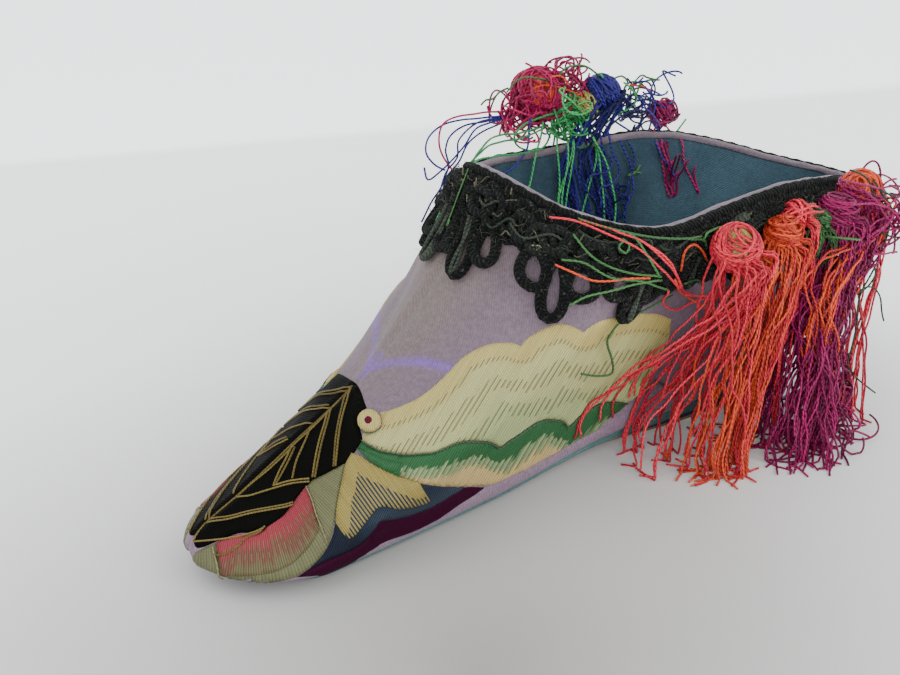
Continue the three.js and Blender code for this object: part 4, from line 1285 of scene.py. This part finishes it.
def lining_x(y, z):
    """Where the far side's lining is, across the shoe, at places along it and up it."""
    levels, steps = np.linspace(0.05, 1, 40), np.linspace(0.02, 0.98, 90)
    level, around = np.meshgrid(levels, steps, indexing="ij")
    places = upper_point(level, around).reshape(-1, 3)
    gaps = (places[:, 1][None] - y[:, None]) ** 2 + (places[:, 2][None] - z[:, None]) ** 2
    return -places[gaps.argmin(1), 0] + UPPER_WALL


def inside_route(route, gap):
    """Places along a pixel route that lie just in front of the far side's lining, or of its rim."""
    pixels = smooth_run(route, ROUTE_STEP)
    across = np.full(len(pixels), -22.0)
    for _ in range(4):
        places = np.array([ray_place(pixel, 0, x) for pixel, x in zip(pixels, across)])
        across = lining_x(places[:, 1], places[:, 2]) + gap
    above = np.array([ray_place(pixel, 0, -23.5) for pixel in pixels])
    over = smooth((above[:, 2] - 46.5) / 2.5)[:, None]
    return places * (1 - over) + above * over


def resting_places(pixels):
    """Where strands that end at pixels rest: on the side of the shoe, or else on the floor."""
    pixels = np.asarray(pixels, float)
    level, around = pick(pixels)
    missed = np.linalg.norm(to_pixels(upper_point(level, around)) - pixels, axis=1)
    on_shoe = skin(level, around, 1, 0.8)
    return [(on_shoe[i], False) if missed[i] < 1.5 else (ray_place(pixels[i], 2, THREAD_RADIUS), True)
            for i in range(len(pixels))]


def wavy(path, rng, size, settled):
    """Adds the kinks of a thread that has been wound."""
    length = np.concatenate([[0], np.cumsum(np.linalg.norm(np.diff(path, axis=0), axis=1))])
    shift = np.zeros_like(path)
    for axis in (0, 1):
        for wave, part in ((21.0, 1.0), (10.0, 0.5), (5.5, 0.14)):
            angle = length / wave * 2 * np.pi * rng.uniform(0.8, 1.2) + rng.uniform(0, 6)
            shift[:, axis] += part * size * np.sin(angle)
    shift[:, 2] = 0.35 * size * np.sin(length / 6.0 * 2 * np.pi + rng.uniform(0, 6))
    fade = smooth(length / 6.0)[:, None]
    path = path + shift * fade
    if settled:
        path[:, 2] = np.maximum(path[:, 2], THREAD_RADIUS)
    return path


def strand(threads, rng, start, end, settled, out, via=(), radius=THREAD_RADIUS, side=1, size=0.45, gap=0.6):
    """A thread that leaves a head at its start, falls and comes to rest."""
    start, end, out = np.asarray(start, float), np.asarray(end, float), np.asarray(out, float)
    drop = max(start[2] - end[2], 4.0)
    points = [start, start + out * 1.6 + np.array([0, 0, -min(4.0, drop * 0.15)])]
    points += [np.asarray(place, float) for place in via]
    low = end + np.array([0, 0, drop * 0.22]) + (start - end) * np.array([0.10, 0.10, 0])
    points += [low, end]
    if settled:
        turn = rng.uniform(-1.2, 1.2)
        aim = unit((end - start) * np.array([1, 1, 0]) + np.array([0.6, rng.uniform(-0.5, 0.5), 0]))
        aim = np.array([aim[0] * math.cos(turn) - aim[1] * math.sin(turn),
                        aim[0] * math.sin(turn) + aim[1] * math.cos(turn), 0])
        points.append(end + aim * rng.uniform(1.0, 4.5))
    path = wavy(smooth_run(points, 1.15), rng, size, settled)
    if side:
        path = clear_of_upper(path, side, gap)
    threads.add(path, radius, 5, rng.uniform(0, 1))


def wound_ball(threads, rng, centre, radius, pole, loops, spread_out=0.06, first=18, last=160):
    """Thread wound in rings about a pole, like a ball of yarn."""
    pole = np.asarray(pole, float) / np.linalg.norm(pole)
    for number in range(loops):
        tilt = unit(pole + any_way(rng) * 0.22)
        across = unit(np.cross(tilt, [0.3, 0.2, 0.9]))
        other = np.cross(tilt, across)
        polar = math.radians(first + (last - first) * (number + rng.random()) / loops)
        size = radius * rng.uniform(1 - spread_out, 1 + spread_out)
        turns = np.linspace(0, 2 * np.pi * rng.uniform(0.8, 1.05), 26)[:, None] + rng.uniform(0, 6)
        ring = np.cos(turns) * across + np.sin(turns) * other
        path = centre + size * (math.sin(polar) * ring + math.cos(polar) * tilt)
        threads.add(path, THREAD_RADIUS * 1.1, 6, rng.uniform(0, 1))


def core_ball(name, centre, radius, material):
    """The lumpy ball that thread is wound on."""
    polars, turns = np.linspace(0.12, np.pi - 0.12, 18), np.linspace(0, 2 * np.pi, 25)[:-1]
    polar, turn = np.meshgrid(polars, turns, indexing="ij")
    lump = radius * (1 + 0.05 * np.sin(3 * turn + 2 * polar) + 0.04 * np.sin(5 * polar))
    points = centre + lump[..., None] * np.stack([np.sin(polar) * np.cos(turn), np.sin(polar) * np.sin(turn),
                                                  np.cos(polar)], -1)
    rows, columns = polar.shape
    faces = [grid_faces(rows, columns, closed=True)[:, ::-1], fan_faces(np.arange(columns)),
             fan_faces((rows - 1) * columns + np.arange(columns))[:, ::-1]]
    maps = np.stack([turn * radius, polar * radius], -1).reshape(-1, 2)
    piece = make_mesh(name, points.reshape(-1, 3), faces, material, {"thread": maps},
                      {"shade": np.full(rows * columns, 0.5)})
    return piece


def tangle(threads, rng, centre, spread_size, loop_size, count, radius=THREAD_RADIUS, floor=None):
    """Loose curled threads around a centre."""
    for _ in range(count):
        middle = np.asarray(centre, float) + any_way(rng) * spread_size
        turns = np.linspace(0, rng.uniform(2.0, 6.5), 26)
        a, b = rng.uniform(loop_size[0], loop_size[1]), rng.uniform(loop_size[0], loop_size[1])
        first = unit(any_way(rng))
        second = unit(np.cross(first, any_way(rng)))
        drift = any_way(rng) * 0.5
        path = (middle + first * a * np.cos(turns)[:, None] + second * b * np.sin(turns * 1.07)[:, None]
                + drift * turns[:, None])
        if floor is not None:
            path[:, 2] = np.maximum(path[:, 2], floor)
        threads.add(path, radius, 6, rng.uniform(0, 1))


def on_ball(rng, centre, radius, low=-0.9, high=0.1, toward=(0.6, -0.3)):
    """A place on a ball's outside, and the direction out of it."""
    angle = math.atan2(toward[1], toward[0]) + rng.uniform(-1.5, 1.5)
    height = rng.uniform(low, high)
    flat = math.sqrt(1 - height**2)
    out = np.array([flat * math.cos(angle), flat * math.sin(angle), height])
    return np.asarray(centre) + out * radius, out


CORAL_HEAD, CORAL_RADIUS = np.array([28.8, -19.2, 43.0]), 3.7
ORANGE_HEAD, ORANGE_RADIUS = np.array([25.6, -5.8, 40.8]), 3.0
TUFT_HEAD = np.array([24.2, -1.6, 42.8])
GREEN_HEAD = np.array([23.6, 4.6, 39.8])
MAGENTA_HEAD, MAGENTA_RADIUS = np.array([23.6, 8.6, 39.8]), 3.6
CRIMSON_HEAD, CRIMSON_RADIUS = np.array([20.2, 18.2, 40.6]), 3.8
CORAL_ENDS = [(575, 435), (601, 414), (612, 441), (615, 444), (633, 454), (639, 417), (643, 448),
              (639, 472), (655, 477), (665, 462), (672, 455), (694, 432), (706, 478), (722, 460),
              (741, 475), (655, 447), (690, 470), (700, 455), (630, 395), (672, 440)]
ORANGE_ENDS = [(735, 455), (741, 475), (728, 470), (722, 478), (730, 440), (745, 450), (738, 462),
               (750, 440), (715, 480), (700, 470), (747, 466), (738, 430)]
GREEN_ENDS = [(765, 395), (770, 405), (760, 385), (750, 410), (757, 400)]
MAGENTA_ENDS = [(749, 431), (761, 442), (775, 459), (793, 461), (800, 464), (824, 465), (808, 442),
                (819, 435), (834, 456), (804, 452), (785, 450), (770, 430), (812, 455), (822, 446),
                (790, 435)]
CRIMSON_ENDS = [(815, 437), (824, 427), (832, 415), (838, 412), (828, 430), (820, 418), (808, 440),
                (800, 428)]
CRIMSON_BULGE = [(888, 215), (880, 240), (872, 255), (862, 250), (868, 228), (858, 270), (850, 262)]
CRIMSON_WAIST = ((800, 842), (295, 325))
CORAL_STRAIGHT_ENDS = [(839, 405), (843, 410), (855, 406), (862, 418), (846, 402), (850, 414)]
UP = np.array([0.0, 0.0, 1.0])


def spread_strands(threads, rng, head, radius, ends, each, jitter, via=None, **more):
    shifted = [(u + rng.gauss(0, jitter), v + rng.gauss(0, jitter * 0.6))
               for u, v in ends for _ in range(each)]
    for end, settled in resting_places(shifted):
        start, out = on_ball(rng, head, radius)
        between = via(rng) if via else []
        strand(threads, rng, start, end, settled, out, between, **more)


def make_near_tassels():
    rng = random.Random(3)
    coral = Threads("coral_tassel")
    core_ball("coral_core", CORAL_HEAD, CORAL_RADIUS * 0.9, OLIVE)
    wound_ball(coral, rng, CORAL_HEAD, CORAL_RADIUS, (0.70, -0.10, 0.80), 76, 0.12, first=36)
    spread_strands(coral, rng, CORAL_HEAD, CORAL_RADIUS, CORAL_ENDS, 2, 3.5)
    spread_strands(coral, rng, ORANGE_HEAD, ORANGE_RADIUS, [(735, 470), (744, 476), (722, 466)], 3, 3.0,
                   size=0.35)
    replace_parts(coral.build(CORAL, "thread_coral"), "tassel_coral")

    orange = Threads("orange_tassel")
    core_ball("orange_core", ORANGE_HEAD, ORANGE_RADIUS * 0.9, ORANGE)
    wound_ball(orange, rng, ORANGE_HEAD, ORANGE_RADIUS, (0.2, 0.2, 1.0), 50, 0.12)
    spread_strands(orange, rng, ORANGE_HEAD, ORANGE_RADIUS, ORANGE_ENDS, 4, 2.8, size=0.35)
    spread_strands(orange, rng, CORAL_HEAD + (0, 2.5, 0), 3.0,
                   [(700, 462), (690, 468), (712, 470), (668, 458)], 2, 5.0)
    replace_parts(orange.build(ORANGE, "thread_orange"), "tassel_orange")

    tuft = Threads("coral_tuft")
    wound_ball(tuft, rng, TUFT_HEAD, 2.2, (0.1, 1, 0.1), 24, 0.2)
    for _ in range(14):
        shift = np.array([rng.uniform(-0.5, 1.5), 0, rng.uniform(-1.8, 1.8)])
        middle = TUFT_HEAD + shift
        path = smooth_run([middle + (0, -4.5, -0.8), middle + (1.0, -1.5, 0.4), middle + (0.8, 1.5, 0.3),
                           middle + (0, 4.2, -0.5)], 0.9)
        tuft.add(wavy(path, rng, 0.3, False), THREAD_RADIUS, 6, rng.uniform(0, 1))
    spread_strands(tuft, rng, TUFT_HEAD, 2.2, [(767, 425), (760, 408), (772, 440), (755, 395)], 4, 3.0)
    tuft.build(CORAL, "thread_coral")

    green = Threads("green_tassel")
    wound_ball(green, rng, GREEN_HEAD, 2.0, (0.1, 0.2, 1), 26, 0.25)
    spread_strands(green, rng, GREEN_HEAD, 2.0, GREEN_ENDS, 5, 4.0, size=0.9)
    tangle(green, rng, GREEN_HEAD + (1.0, -2.5, -2.5), 1.6, (1.2, 3.0), 16)
    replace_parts(green.build(DARK_GREEN, "thread_green"), "tassel_green")

    magenta = Threads("magenta_tassel")
    core_ball("magenta_core", MAGENTA_HEAD, MAGENTA_RADIUS * 0.9, MAGENTA)
    wound_ball(magenta, rng, MAGENTA_HEAD, MAGENTA_RADIUS, (0.1, 0.3, 1.0), 64, 0.14)
    spread_strands(magenta, rng, MAGENTA_HEAD, MAGENTA_RADIUS, MAGENTA_ENDS, 6, 5.0, size=0.75)
    tangle(magenta, rng, (31.0, 2.0, 3.5), 3.2, (1.5, 4.5), 26, floor=THREAD_RADIUS)
    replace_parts(magenta.build(MAGENTA, "thread_magenta"), "tassel_magenta")

    crimson = Threads("crimson_tassel")
    core_ball("crimson_core", CRIMSON_HEAD, CRIMSON_RADIUS * 0.9, ORANGE)
    wound_ball(crimson, rng, CRIMSON_HEAD, CRIMSON_RADIUS * 1.1, (0.3, 0.3, 0.9), 40, first=70)

    def bulge(rng):
        waist = (rng.uniform(*CRIMSON_WAIST[0]), rng.uniform(*CRIMSON_WAIST[1]))
        return [ray_place(rng.choice(CRIMSON_BULGE), 0, rng.uniform(22, 29)),
                ray_place(waist, 0, rng.uniform(24, 30))]

    spread_strands(crimson, rng, CRIMSON_HEAD, CRIMSON_RADIUS, CRIMSON_ENDS, 9, 5.0, via=bulge, size=0.8)
    tangle(crimson, rng, CRIMSON_HEAD + (3.0, 4.0, -5.0), 3.0, (2.0, 5.0), 22)
    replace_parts(crimson.build(MAGENTA, "thread_magenta"), "tassel_crimson")

    flame = Threads("crimson_flame")
    wound_ball(flame, rng, CRIMSON_HEAD + UP * 0.5, CRIMSON_RADIUS * 0.98, (0.5, -0.6, 0.6), 34, last=120)

    def outermost(rng):
        return [ray_place((rng.uniform(804, 842), rng.uniform(270, 330)), 0, rng.uniform(29, 33))]

    spread_strands(flame, rng, CRIMSON_HEAD, CRIMSON_RADIUS,
                   [(812, 420), (800, 440), (820, 425), (830, 405)], 6, 8.0, via=outermost)
    flame.build(ORANGE, "thread_orange")
    straight = Threads("coral_straight")
    spread_strands(straight, rng, CRIMSON_HEAD + (2, 0, -2), 2.0, CORAL_STRAIGHT_ENDS, 2, 2.5, size=0.3)
    straight.build(CORAL, "thread_coral")


# Loose threads over the trim, by pixel: material name and route
LOOSE_ON_TRIM = [
    ("coral", [(553, 220), (577, 223), (606, 234), (634, 246), (650, 261), (663, 275), (679, 291)]),
    ("coral", [(589, 210), (613, 230), (638, 239), (657, 257), (674, 282), (690, 292), (712, 290),
               (728, 280)]),
    ("coral", [(638, 239), (655, 250), (664, 266), (676, 289), (700, 292), (730, 290), (752, 278)]),
    ("coral", [(656, 281), (659, 300), (672, 306), (690, 297), (716, 290)]),
    ("orange", [(557, 266), (574, 273), (590, 279), (606, 278), (622, 274), (640, 271)]),
    ("orange", [(668, 262), (672, 243), (681, 236), (690, 243), (694, 252)]),
    ("orange", [(662, 270), (670, 284), (688, 297), (708, 309)]),
    ("green", [(575, 236), (590, 255), (607, 265), (627, 269), (649, 268)]),
    ("green", [(563, 261), (584, 263), (607, 275), (634, 275), (655, 280)]),
    ("green", [(568, 305), (584, 295), (606, 287), (625, 279), (649, 271)]),
    ("green", [(667, 291), (640, 305), (618, 314), (604, 330), (602, 340), (606, 352), (608, 365),
               (604, 370), (590, 371), (576, 369)]),
    ("green", [(584, 212), (591, 219), (616, 223), (631, 228), (652, 229), (688, 228)]),
    ("green", [(584, 214), (600, 224), (625, 231), (650, 232), (688, 231), (694, 240)]),
    ("green", [(612, 222), (630, 234), (640, 250), (648, 268)]),
    ("green", [(690, 232), (696, 222), (710, 219), (728, 226), (748, 228)]),
    ("green", [(672, 275), (684, 272), (694, 277), (699, 285)]),
    ("green", [(478, 158), (466, 171), (453, 186), (444, 203), (438, 219)]),
    ("green", [(480, 161), (464, 177), (452, 196), (442, 213)]),
    ("green", [(484, 159), (470, 170), (458, 184), (447, 198)]),
    ("green", [(620, 238), (626, 243), (622, 251), (616, 246), (621, 240)]),
]
# Threads down the inside of the far wall: material name, gap to the lining in mm, route
INSIDE_ROUTES = [
    ("green", 1.2, [(543, 122), (541, 135), (537, 150), (533, 172), (528, 190), (522, 208),
                    (518, 222)]),
    ("green", 1.5, [(552, 120), (556, 135), (559, 160), (560, 185), (557, 205), (554, 225)]),
    ("green", 1.8, [(572, 120), (574, 145), (571, 170), (567, 195), (564, 225)]),
    ("green", 2.1, [(560, 120), (567, 140), (568, 165), (563, 190), (560, 225)]),
    ("green", 1.4, [(568, 120), (573, 140), (570, 160), (561, 190), (556, 225)]),
    ("green", 1.2, [(585, 122), (594, 138), (600, 160), (602, 190), (604, 215), (605, 235)]),
    ("green", 1.6, [(582, 122), (594, 140), (606, 162), (614, 190), (615, 212), (612, 235)]),
    ("green", 1.0, [(588, 124), (595, 145), (595, 165), (588, 190), (582, 215)]),
    ("blue", 0.8, [(627, 140), (633, 152), (634, 165), (627, 190), (626, 218), (626, 235)]),
    ("blue", 1.0, [(655, 140), (662, 158), (670, 168), (676, 182)]),
    ("blue", 0.8, [(620, 140), (630, 165), (633, 193), (624, 195), (616, 190)]),
    ("blue", 1.6, [(531, 118), (529, 132), (527, 148), (520, 160), (512, 169), (498, 176)]),
    ("blue", 1.6, [(600, 125), (603, 150), (612, 160), (606, 172), (590, 176), (586, 190), (596, 200)]),
    ("blue", 1.4, [(606, 126), (612, 150), (620, 170), (612, 184), (600, 190), (604, 210)]),
    ("dark_green", 0.8, [(640, 165), (635, 173), (628, 176), (634, 172), (642, 173)]),
]
FAR_ROUTES = [
    ("green", -25, -7, [(548, 125), (520, 133), (494, 137), (480, 150), (475, 158), (466, 170),
                        (452, 184), (444, 203), (437, 220)]),
    ("green", -25, -7, [(545, 128), (518, 139), (493, 144), (474, 158), (460, 178), (450, 198),
                        (440, 214)]),
    ("green", -25, -7, [(552, 127), (545, 146), (528, 152), (500, 156), (480, 160), (465, 172),
                        (453, 188)]),
    ("green", -24, -24, [(556, 123), (552, 150), (538, 153), (520, 148), (514, 136), (525, 124),
                         (545, 116), (575, 109), (600, 112), (615, 112)]),
    ("green", -24, -22, [(585, 122), (600, 130), (624, 147), (647, 155), (662, 150), (675, 133),
                         (685, 119)]),
    ("green", -26, -24, [(600, 73), (607, 85), (612, 100), (606, 114), (598, 128), (589, 134)]),
    ("green", -26, -24, [(602, 128), (615, 115), (630, 108), (636, 100), (632, 90), (624, 83)]),
    ("dark_green", -26, -26, [(507, 92), (518, 80), (530, 78), (545, 80), (552, 84)]),
    ("dark_green", -27, -27, [(559, 76), (566, 68), (580, 65), (592, 70), (604, 78)]),
    ("dark_green", -26, -26, [(613, 79), (622, 76), (628, 82), (624, 92), (635, 95), (640, 84),
                              (650, 80), (659, 80)]),
    ("dark_green", -26, -26, [(628, 90), (640, 76), (646, 77), (658, 80)]),
    ("dark_green", -27, -27, [(481, 105), (486, 100), (493, 99), (500, 92), (508, 88)]),
    ("blue", -24, -20, [(610, 118), (635, 135), (655, 150), (672, 172)]),
    ("magenta", -29, -30, [(510, 112), (491, 112), (460, 116), (443, 125), (440, 145), (448, 165),
                           (458, 177)]),
    ("orange", -26, -25, [(532, 89), (545, 85), (560, 88), (575, 93), (592, 100)]),
    ("orange", -27, -26, [(548, 78), (560, 76), (568, 84), (571, 95), (568, 106), (562, 112)]),
    ("orange", -26, -26, [(630, 85), (645, 87), (652, 95), (652, 103)]),
    ("blue", -29, -31, [(517, 114), (490, 117), (462, 120), (443, 125), (428, 138), (426, 152),
                        (433, 163), (445, 170)]),
    ("blue", -29, -31, [(515, 117), (488, 121), (466, 125), (450, 136), (446, 150), (450, 165),
                        (443, 182), (432, 200), (421, 222)]),
    ("blue", -29, -31, [(513, 116), (480, 122), (460, 140), (456, 158), (446, 172), (440, 190),
                        (437, 212)]),
    ("blue", -29, -30, [(505, 118), (478, 128), (464, 146), (452, 160), (440, 172), (428, 180),
                        (424, 168)]),
    ("blue", -29, -31, [(510, 120), (486, 130), (470, 142), (460, 160), (447, 176), (441, 200),
                        (438, 218)]),
]
# Dark loose threads behind the crimson tassel, in the plane at a distance across
DARK_LOOSE = [
    [(873, 180), (886, 197), (892, 209), (882, 248), (863, 291), (853, 344), (847, 366), (865, 384),
     (875, 393)],
    [(866, 243), (875, 264), (877, 276), (865, 289), (847, 293)],
    [(848, 300), (862, 290), (871, 287), (879, 299), (884, 321)],
    [(850, 170), (862, 174), (871, 182), (874, 196)],
    [(880, 190), (893, 196), (899, 198)],
    [(880, 232), (892, 237), (899, 238)],
    [(840, 380), (846, 383), (853, 385)],
]
MAGENTA_LOOSE = [
    [(840, 180), (862, 184), (880, 188), (893, 187), (898, 190)],
    [(850, 205), (872, 204), (886, 206), (898, 197)],
    [(868, 255), (880, 254), (898, 252)],
    [(862, 188), (874, 200), (884, 212), (893, 230), (888, 246), (874, 262), (862, 280)],
    [(840, 262), (858, 262), (862, 243), (852, 232), (846, 244), (850, 258)],
    [(788, 262), (800, 290), (818, 300), (832, 286), (838, 262)],
]
COLOURS = {"coral": (CORAL, "thread_coral"), "orange": (ORANGE, "thread_orange"),
           "green": (GREEN, "thread_green"), "dark_green": (DARK_GREEN, "thread_green"),
           "blue": (BLUE, "thread_blue"),
           "magenta": (CRIMSON, "thread_magenta")}
FAR_MAGENTA, FAR_OCHRE = np.array([-30.0, -17.5, 56.2]), np.array([-26.6, -9.3, 52.5])
FAR_BLUE, FAR_TUFT = np.array([-27.2, -4.3, 54.0]), np.array([-23.4, 8.3, 48.6])
FAR_KNOT = np.array([-24.0, -14.0, 52.1])


def make_loose_threads():
    rng = random.Random(11)
    loose = {name: Threads(f"loose_{name}") for name in COLOURS}
    for name, route in LOOSE_ON_TRIM:
        level, around = pick(smooth_run(route, ROUTE_STEP))
        path = skin(level, around, 1, 2.9 - 1.6 * smooth((0.8 - level) / 0.12))
        chosen = "dark_green" if name == "green" else name
        loose[chosen].add(path, THREAD_RADIUS, 6, rng.uniform(0.4, 1))
    for name, gap, route in INSIDE_ROUTES:
        path = wavy(inside_route(route, gap), rng, 0.12, False)
        loose[name].add(path, THREAD_RADIUS, 6, rng.uniform(0.3, 1))
    for name, first, last, route in FAR_ROUTES:
        smooth_route = smooth_run(route, ROUTE_STEP)
        planes = first + (last - first) * np.linspace(0, 1, len(smooth_route))
        path = np.array([ray_place(pixel, 0, plane) for pixel, plane in zip(smooth_route, planes)])
        loose[name].add(wavy(path, rng, 0.15, False), THREAD_RADIUS, 6, rng.uniform(0.3, 1))
    for route in DARK_LOOSE:
        path = np.array([ray_place(pixel, 0, 27.0) for pixel in smooth_run(route, ROUTE_STEP)])
        path[:, 2] = np.maximum(path[:, 2], THREAD_RADIUS)
        loose["dark_green"].add(wavy(path, rng, 0.2, True), THREAD_RADIUS * 0.85, 6, 0.0)
    fringe = Threads("loose_fringe")
    for route in MAGENTA_LOOSE:
        path = np.array([ray_place(pixel, 0, 29.0) for pixel in smooth_run(route, ROUTE_STEP)])
        fringe.add(wavy(path, rng, 0.2, False), THREAD_RADIUS, 6, rng.uniform(0.3, 1))
    fringe.build(MAGENTA, "thread_magenta")
    for name, threads in loose.items():
        material, slot = COLOURS[name]
        threads.build(material, slot)


LINING_TOP = 45.0


def inner_fall(threads, rng, head, radius, count, y_range, low):
    """Strands that fall from a head over the rim and down inside the far wall."""
    for _ in range(count):
        start, out = on_ball(rng, head, radius, -0.6, 0.3, (1, 0))
        y = rng.uniform(*y_range)
        over = np.array([-21.0 + rng.uniform(0, 1.5), y, 46 + rng.uniform(-1, 1)])
        middle = np.array([-18.5 + rng.uniform(-0.5, 2.0), y + rng.uniform(-1.5, 1.5), 34.0])
        end = np.array([-15.0 + rng.uniform(-1, 3), y + rng.uniform(-2.5, 2.5), low + rng.uniform(-5, 5)])
        path = wavy(smooth_run([start, start + out * 1.2, over, middle, end], 1.3), rng, 0.4, False)
        inside = path[:, 2] < LINING_TOP
        path[inside, 0] = np.maximum(path[inside, 0], lining_x(path[inside, 1], path[inside, 2]) + 0.5)
        threads.add(path, THREAD_RADIUS, 6, rng.uniform(0, 1))


def make_far_tassels():
    rng = random.Random(5)
    crimson = Threads("far_crimson_ball")
    core_ball("far_magenta_core", FAR_MAGENTA, 4.4, ORANGE)
    wound_ball(crimson, rng, FAR_MAGENTA, 4.9, (0.8, -0.2, 0.5), 46, 0.12, first=34)
    tangle(crimson, rng, FAR_MAGENTA + (0, 1.0, -1.0), 1.8, (2.4, 4.6), 44)
    tangle(crimson, rng, FAR_MAGENTA + (0, 8.0, 1.0), 1.3, (1.6, 3.6), 26)
    tangle(crimson, rng, FAR_MAGENTA + (1.5, -6.0, -2.5), 1.3, (2.0, 4.2), 26)
    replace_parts(crimson.build(CRIMSON, "thread_magenta"), "tassel_far_magenta")
    ochre = Threads("far_ochre_ball")
    core_ball("far_ochre_core", FAR_OCHRE, 2.8, OLIVE)
    wound_ball(ochre, rng, FAR_OCHRE, 3.1, (0.7, 0.2, 0.6), 34)
    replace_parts(ochre.build(OLIVE, "thread_ochre"), "tassel_far_ochre")
    blue = Threads("far_blue_ball")
    core_ball("far_blue_core", FAR_BLUE, 3.6, BLUE)
    wound_ball(blue, rng, FAR_BLUE, 4.0, (0.2, 1.0, 0.2), 46)
    inner_fall(blue, rng, FAR_BLUE, 4.0, 34, (-19, -9), 18)
    tangle(blue, rng, (-24.5, 4.5, 50.0), 2.0, (1.6, 3.8), 26)
    tangle(blue, rng, (-17.0, -9.0, 33.0), 2.0, (1.5, 3.2), 16)
    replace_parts(blue.build(BLUE, "thread_blue"), "tassel_far_blue")
    tuft = Threads("far_crimson_tuft")
    wound_ball(tuft, rng, FAR_TUFT, 2.6, (0.2, 1.0, 0.3), 30, 0.2)
    inner_fall(tuft, rng, FAR_TUFT, 2.6, 6, (3, 8), 42)
    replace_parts(tuft.build(MAGENTA, "thread_magenta"), "tassel_far_crimson")
    knot = Threads("far_green_knot")
    tangle(knot, rng, FAR_KNOT, 1.3, (1.5, 3.2), 34)
    knot.build(GREEN, "thread_green")


# Floor and light

# The floor is painted darker round the place under this pixel, a painted shadow, and glows more further from
# it, painted light.
SHADOW_FLOOR_PIXEL = (480, 670)
PALE_FROM, PALE_TO = 0.186, 0.196


def make_stage():
    mesh = bpy.data.meshes.new("floor")
    wide, near, back, bend, top = 2.6, -1.8, 1.2, 0.5, 2.2
    profile = [(near, 0.0), (back, 0.0)]
    turns = np.linspace(0.1, math.pi / 2, 12)
    profile += [(back + bend * math.sin(turn), bend - bend * math.cos(turn)) for turn in turns]
    profile.append((back + bend, top))
    points = [(x, y, z) for y, z in profile for x in (-wide, wide)]
    faces = [(2 * i, 2 * i + 1, 2 * i + 3, 2 * i + 2) for i in range(len(profile) - 1)]
    mesh.from_pydata(points, [], faces)
    mesh.shade_smooth()
    material, tree, shader = new_material("pale_floor", 0.75)
    place = place_of(tree)
    into_floor = Matrix.Rotation(-math.radians(CAMERA_AZIMUTH), 4, "Z")
    painted_shadow_place = into_floor @ Vector(ray_place(SHADOW_FLOOR_PIXEL, 2, 0) * MM)
    away = node(tree, "ShaderNodeVectorMath", {0: place}, operation="DISTANCE")
    away.inputs[1].default_value = painted_shadow_place
    # Painted shadow on the floor near that place, and a painted glow of light that grows further away.
    shadow_distance = maths(tree, "MULTIPLY_ADD", noise(tree, place, 5.0, 3.0), 0.05, away.outputs["Value"])
    floor_with_painted_shadow = blend(tree, spread(tree, shadow_distance, 0.03, 0.16), (0.30, 0.288, 0.275), (0.85, 0.85, 0.85))
    painted_floor_glow = spread(tree, shadow_distance, 0.08, 0.26, 0.0, 0.55)
    back_from_shoe = node(tree, "ShaderNodeSeparateXYZ", {0: place}).outputs[1]
    on_wall = spread(tree, back_from_shoe, PALE_FROM, PALE_TO)
    tree.links.new(blend(tree, on_wall, floor_with_painted_shadow, (0.93, 0.95, 0.96)), shader.inputs["Base Color"])
    shader.inputs["Emission Color"].default_value = (0.95, 0.98, 1.0, 1)
    tree.links.new(maths(tree, "MULTIPLY_ADD", on_wall, 0.36, painted_floor_glow), shader.inputs["Emission Strength"])
    mesh.materials.append(material)
    floor = bpy.data.objects.new("floor", mesh)
    bpy.context.scene.collection.objects.link(floor)
    floor.rotation_euler = (0, 0, math.radians(CAMERA_AZIMUTH))


# Each light: place in metres, aimed at the shoe, width in metres, watts
LIGHTS = [
    ("key", (-0.30, -0.50, 0.95), 1.2, 7.5),
    ("front_fill", (0.95, -0.70, 0.50), 1.0, 10.0),
    ("side_fill", (0.80, 0.40, 0.55), 0.8, 8.0),
]


def make_lights():
    for name, place, width, watts in LIGHTS:
        data = bpy.data.lights.new(name, "AREA")
        data.shape = "DISK"
        data.size = width
        data.energy = watts
        lamp = bpy.data.objects.new(name, data)
        bpy.context.scene.collection.objects.link(lamp)
        aim = np.array(place) - np.array([0, -0.02, 0.02])
        lamp.location = place
        lamp.rotation_mode = "QUATERNION"
        lamp.rotation_quaternion = Matrix(look_axes(aim).T.tolist()).to_quaternion()
    world = bpy.data.worlds.new("studio")
    world.use_nodes = True
    world.node_tree.nodes["Background"].inputs[0].default_value = (0.95, 0.97, 1.0, 1)
    world.node_tree.nodes["Background"].inputs[1].default_value = 0.90
    bpy.context.scene.world = world


def look_axes(back):
    back = back / np.linalg.norm(back)
    right = np.cross([0, 0, 1], back)
    right /= np.linalg.norm(right)
    return np.stack([right, np.cross(back, right), back])


make_camera()
make_stage()
make_lights()
make_upper()
make_binding()
make_sole()
make_embroidery()
make_cords()
make_trim()
make_near_tassels()
make_far_tassels()
make_loose_threads()
